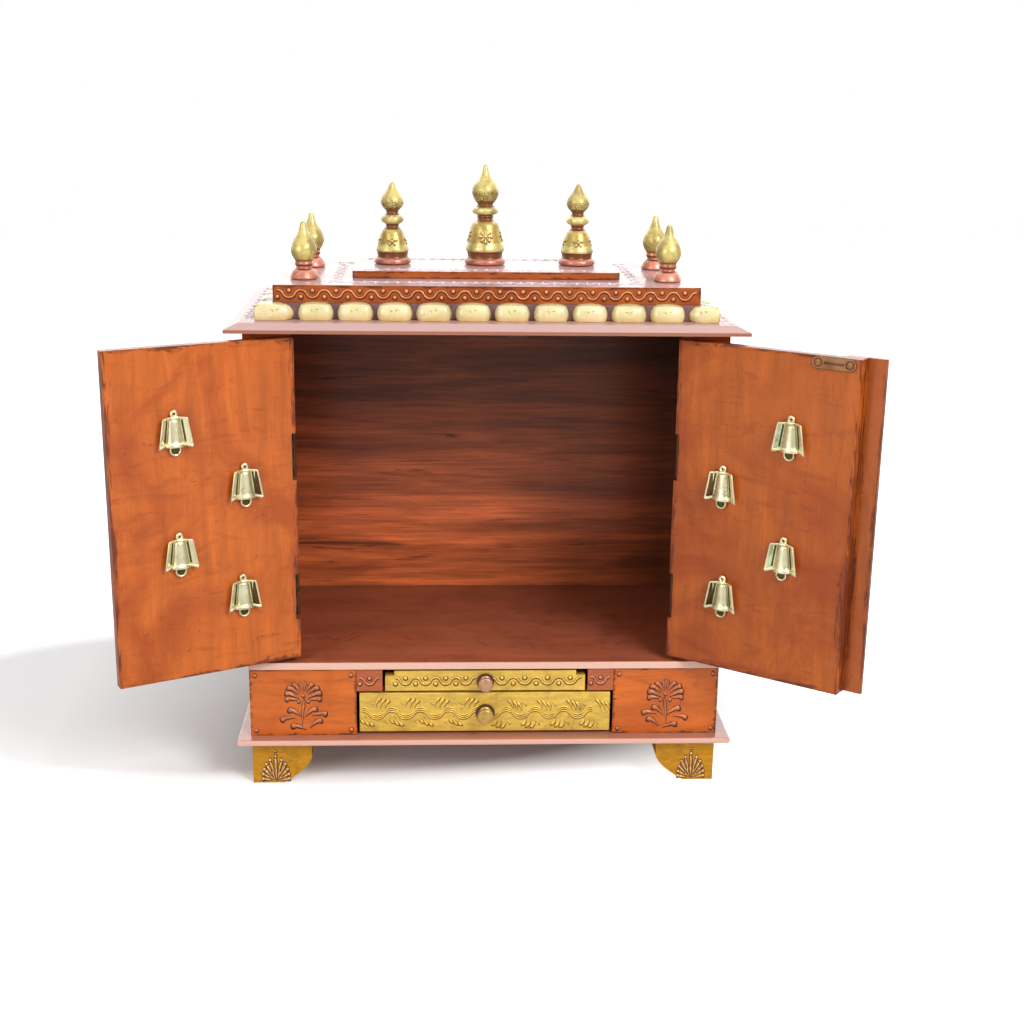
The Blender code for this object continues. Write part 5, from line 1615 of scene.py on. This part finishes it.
class MANDIR_OT_panel_sprigs(MandirOperator):
    """Carved sprigs and corner dots on the two base panels"""

    bl_idname = "mandir.panel_sprigs"
    bl_label = "Panel sprigs"

    def execute(self, context):
        for side, s in SIDES:
            low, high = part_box("base_panel_" + side)
            shapes = {
                "leaf": leaf(12.0 * MM, 4.8 * MM, 2.5 * MM, 30.0, 32.0),
                "thin": leaf(9.0 * MM, 2.4 * MM, 1.4 * MM, 12.0),
                "dot": boss(2.0 * MM, 1.8 * MM),
                "stud": boss(2.3 * MM, 2.0 * MM),
            }
            spots = self.sprig()
            if s > 0:
                spots = [(key, -x, y, pi - turn, size, -wide) for key, x, y, turn, size, wide in spots]
            centre = Vector(((low.x + high.x) / 2, low.y, 101.5 * MM))
            wide = (high.x - low.x) / 2 - 6.0 * MM
            for sx in (-1, 1):
                for level in (high.z - 7.0 * MM, low.z + 6.0 * MM):
                    spots.append(("stud", sx * wide, level - centre.z, 0.0, 0.0, 1.0))
            lay_carving(
                "panel_sprig_" + side, "cabinet", facing(centre), "panel_relief",
                shapes, spots, swell=1.5,
            )
        return {"FINISHED"}

    def sprig(self):
        """A palmette of eight leaves over three dots, with hooked leaves on a stem below."""
        spots = []
        for side in (-1, 1):
            fan = (
                ((17.5, 14.5), (6.0, 6.0)), ((20.5, 8.0), (6.5, 1.0)), ((21.0, 0.0), (7.0, -2.0)),
                ((10.5, 18.5), (3.5, 8.0)),
            )
            for head, tail in fan:
                spots.append(
                    stroke("leaf", (side * head[0], head[1]), (side * tail[0], tail[1]), side)
                )
            spots.append(stroke("thin", (side * 2.6, 19.0), (side * 1.4, 7.0), side))
            spots.append(("dot", side * 5.2 * MM, -4.6 * MM, 0.0, 0.0, 0.9))
        spots.append(stroke("thin", (0.0, 20.5), (0.0, 7.0), 1))
        spots.append(("dot", 0.0, 2.4 * MM, 0.0, 0.0, 1.0))
        spots.append(stroke("thin", (0.4, -2.5), (-2.2, -32.0), 1, 0.8))
        spots += [
            stroke("leaf", (-17.5, -11.5), (-3.5, -20.0), -1),
            stroke("leaf", (14.5, -10.0), (2.5, -20.0), 1),
            stroke("leaf", (27.0, -17.5), (11.5, -19.5), 1),
            stroke("leaf", (20.0, -24.0), (7.5, -33.0), 1),
            stroke("leaf", (-27.0, -25.0), (-12.0, -23.0), -1),
            stroke("leaf", (-15.0, -31.0), (0.5, -36.0), -1),
        ]
        return spots


class MANDIR_OT_foot_palmettes(MandirOperator):
    """Carved palmettes on the outer faces of the bracket feet"""

    bl_idname = "mandir.foot_palmettes"
    bl_label = "Foot palmettes"

    def execute(self, context):
        for node in sorted(NODES):
            if not node.startswith("foot_"):
                continue
            low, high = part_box(node)
            front = "front" in node
            s = -1 if "left" in node else 1
            edge = low.x if s < 0 else high.x
            deep = low.y if front else high.y
            inset = 25.0 * MM
            faces = (
                ("front" if front else "back", (edge - s * inset, deep, 2.0 * MM)),
                ("left" if s < 0 else "right", (edge, deep + (inset if front else -inset), 2.0 * MM)),
            )
            for side, spot in faces:
                shapes = {
                    "leaf": leaf(14.0 * MM, 2.6 * MM, self.sizes.relief, 18.0),
                    "bead": boss(1.7 * MM, 1.9 * MM),
                }
                lay_carving(
                    node + "_palmette_" + side, "cabinet", facing(Vector(spot), side),
                    "foot_relief", shapes, self.palmette(), swell=2.0,
                )
        return {"FINISHED"}

    def palmette(self):
        """Eleven leaves in a pointed fan, each with a bead on its tip, over a smaller fan."""
        spots = []
        tips = ((0.0, 30.0), (6.2, 25.5), (10.4, 20.5), (12.8, 14.5), (14.0, 8.5), (14.3, 3.0))
        for side in (-1, 1):
            for x, y in tips:
                if x == 0.0 and side > 0:
                    continue
                spots.append(stroke("leaf", (side * x * 0.92, y * 0.92), (side * x * 0.35, y * 0.32), side))
                spots.append(("bead", side * x * MM, y * MM, 0.0, 0.0, 1.0))
        for x, y in ((0.0, 14.0), (4.2, 11.0), (-4.2, 11.0), (6.2, 5.5), (-6.2, 5.5)):
            spots.append(stroke("leaf", (x, y), (x * 0.2, y * 0.15), 1, 0.9))
        spots.append(("bead", 0.0, 36.0 * MM, 0.0, 0.0, 0.6))
        return spots


class MANDIR_OT_strike(MandirOperator):
    """Rim, bar and slotted screws on the strike plate"""

    bl_idname = "mandir.strike"
    bl_label = "Strike plate"

    def execute(self, context):
        matrix = door_matrix("right")
        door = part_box("door_right")
        plate_inset, plate_long, plate_thick, gap = 5.0 * MM, 46.0 * MM, 1.2 * MM, 0.3 * MM
        along = -(DOOR_REACH - plate_inset - plate_long / 2)
        up = (door[1].z - door[0].z) - 6.6 * MM
        face = DOOR_THICK + gap + plate_thick
        parts, rims = [], []
        for s in (-1, 1):
            spot = (s * 16.5 * MM, 0.0, 0.0)
            parts.append(place(slotted_screw(3.0 * MM), Matrix.Translation(spot)))
            start()
            bpy.ops.mesh.primitive_torus_add(
                major_segments=28, minor_segments=8, major_radius=4.0 * MM, minor_radius=0.6 * MM,
                location=spot,
            )
            rims.append(added())
        rims.append(bevelled(block((21.0 * MM, 2.6 * MM, 1.2 * MM)), 0.5 * MM))
        start()
        bpy.ops.mesh.primitive_cylinder_add(
            vertices=32, radius=6.8 * MM, depth=0.5 * MM, location=(0.0, 0.0, -1.3 * MM)
        )
        halo = added()
        for s in (-1, 1):
            shift(halo, lambda co: co.x * s > 0.1 * MM, (s * 17.0 * MM, 0.0, 0.0))
        rims.append(bevelled(halo, 0.2 * MM))
        stand = Matrix.Translation((along, face, up)) @ Matrix.Rotation(pi, 4, "Z")
        stand = matrix @ stand @ Matrix.Rotation(pi / 2, 4, "X")
        for name, group, tone in (("fittings", parts, "strike"), ("rims", rims, "strike_rim")):
            piece = smooth(place(outward(joined(group, name)), stand), 35.0)
            finish_piece(piece, "strike_" + name, "door_right", FINISHES[tone])
        return {"FINISHED"}


class MANDIR_OT_hinge_screws(MandirOperator):
    """Three small slotted screws on each leaf of the butt hinges"""

    bl_idname = "mandir.hinge_screws"
    bl_label = "Hinge screws"

    def execute(self, context):
        head = slotted_screw(1.7 * MM)
        groups = {"cabinet": [], "door_left": [], "door_right": []}
        for side, s in SIDES:
            door = door_matrix(side)
            pin = Matrix.Translation(door.translation)
            for level in ("lower", "upper"):
                leaf_low, leaf_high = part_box("hinge_stile_%s_%s" % (side, level))
                middle = (leaf_low.z + leaf_high.z) / 2 - door.translation.z
                for step in (-17.0 * MM, 0.0, 17.0 * MM):
                    for body, frame, x, y, turn in (
                        ("cabinet", pin, s * 1.2 * MM, 6.9 * MM, -s * pi / 2),
                        ("door_" + side, door, -s * 6.2 * MM, 5.9 * MM, s * pi / 2),
                    ):
                        stand = Matrix.Translation((x, y, middle + step)) @ Matrix.Rotation(turn, 4, "Y")
                        groups[body].append(twin(head, frame @ stand))
        discard(head)
        for body, screws in groups.items():
            finish_piece(
                joined(screws, "hinge_screws_" + body), "hinge_screws_" + body, body,
                FINISHES["hinge_screw"],
            )
        return {"FINISHED"}


class MANDIR_PT_panel(bpy.types.Panel):
    """The mandir's pieces, colours and sizes"""

    bl_idname = "MANDIR_PT_panel"
    bl_label = "Mandir"
    bl_space_type = "VIEW_3D"
    bl_region_type = "UI"
    bl_category = "Mandir"

    def draw(self, context):
        for name in STEPS:
            self.layout.operator("mandir." + name)
        for group in (context.scene.mandir_colours, context.scene.mandir_sizes):
            box = self.layout.box()
            for key in group.__annotations__:
                box.prop(group, key)


STEPS = (
    "stage", "boards", "metals", "petals", "finials", "knobs", "bells", "roof_scrolls",
    "tray_scroll", "drawer_scroll", "panel_sprigs", "foot_palmettes", "strike",
    "hinge_screws",
)
CLASSES = (
    MandirColours, MandirSizes, MANDIR_OT_stage, MANDIR_OT_boards, MANDIR_OT_metals,
    MANDIR_OT_petals, MANDIR_OT_finials, MANDIR_OT_knobs, MANDIR_OT_bells, MANDIR_OT_roof_scrolls,
    MANDIR_OT_tray_scroll, MANDIR_OT_drawer_scroll, MANDIR_OT_panel_sprigs,
    MANDIR_OT_foot_palmettes, MANDIR_OT_strike, MANDIR_OT_hinge_screws,
    MANDIR_PT_panel,
)


def register():
    for cls in CLASSES:
        bpy.utils.register_class(cls)
    bpy.types.Scene.mandir_colours = PointerProperty(type=MandirColours)
    bpy.types.Scene.mandir_sizes = PointerProperty(type=MandirSizes)


def unregister():
    del bpy.types.Scene.mandir_sizes
    del bpy.types.Scene.mandir_colours
    for cls in reversed(CLASSES):
        bpy.utils.unregister_class(cls)


def main():
    register()
    for name in STEPS:
        getattr(bpy.ops.mandir, name)()


if __name__ == "__main__":
    main()
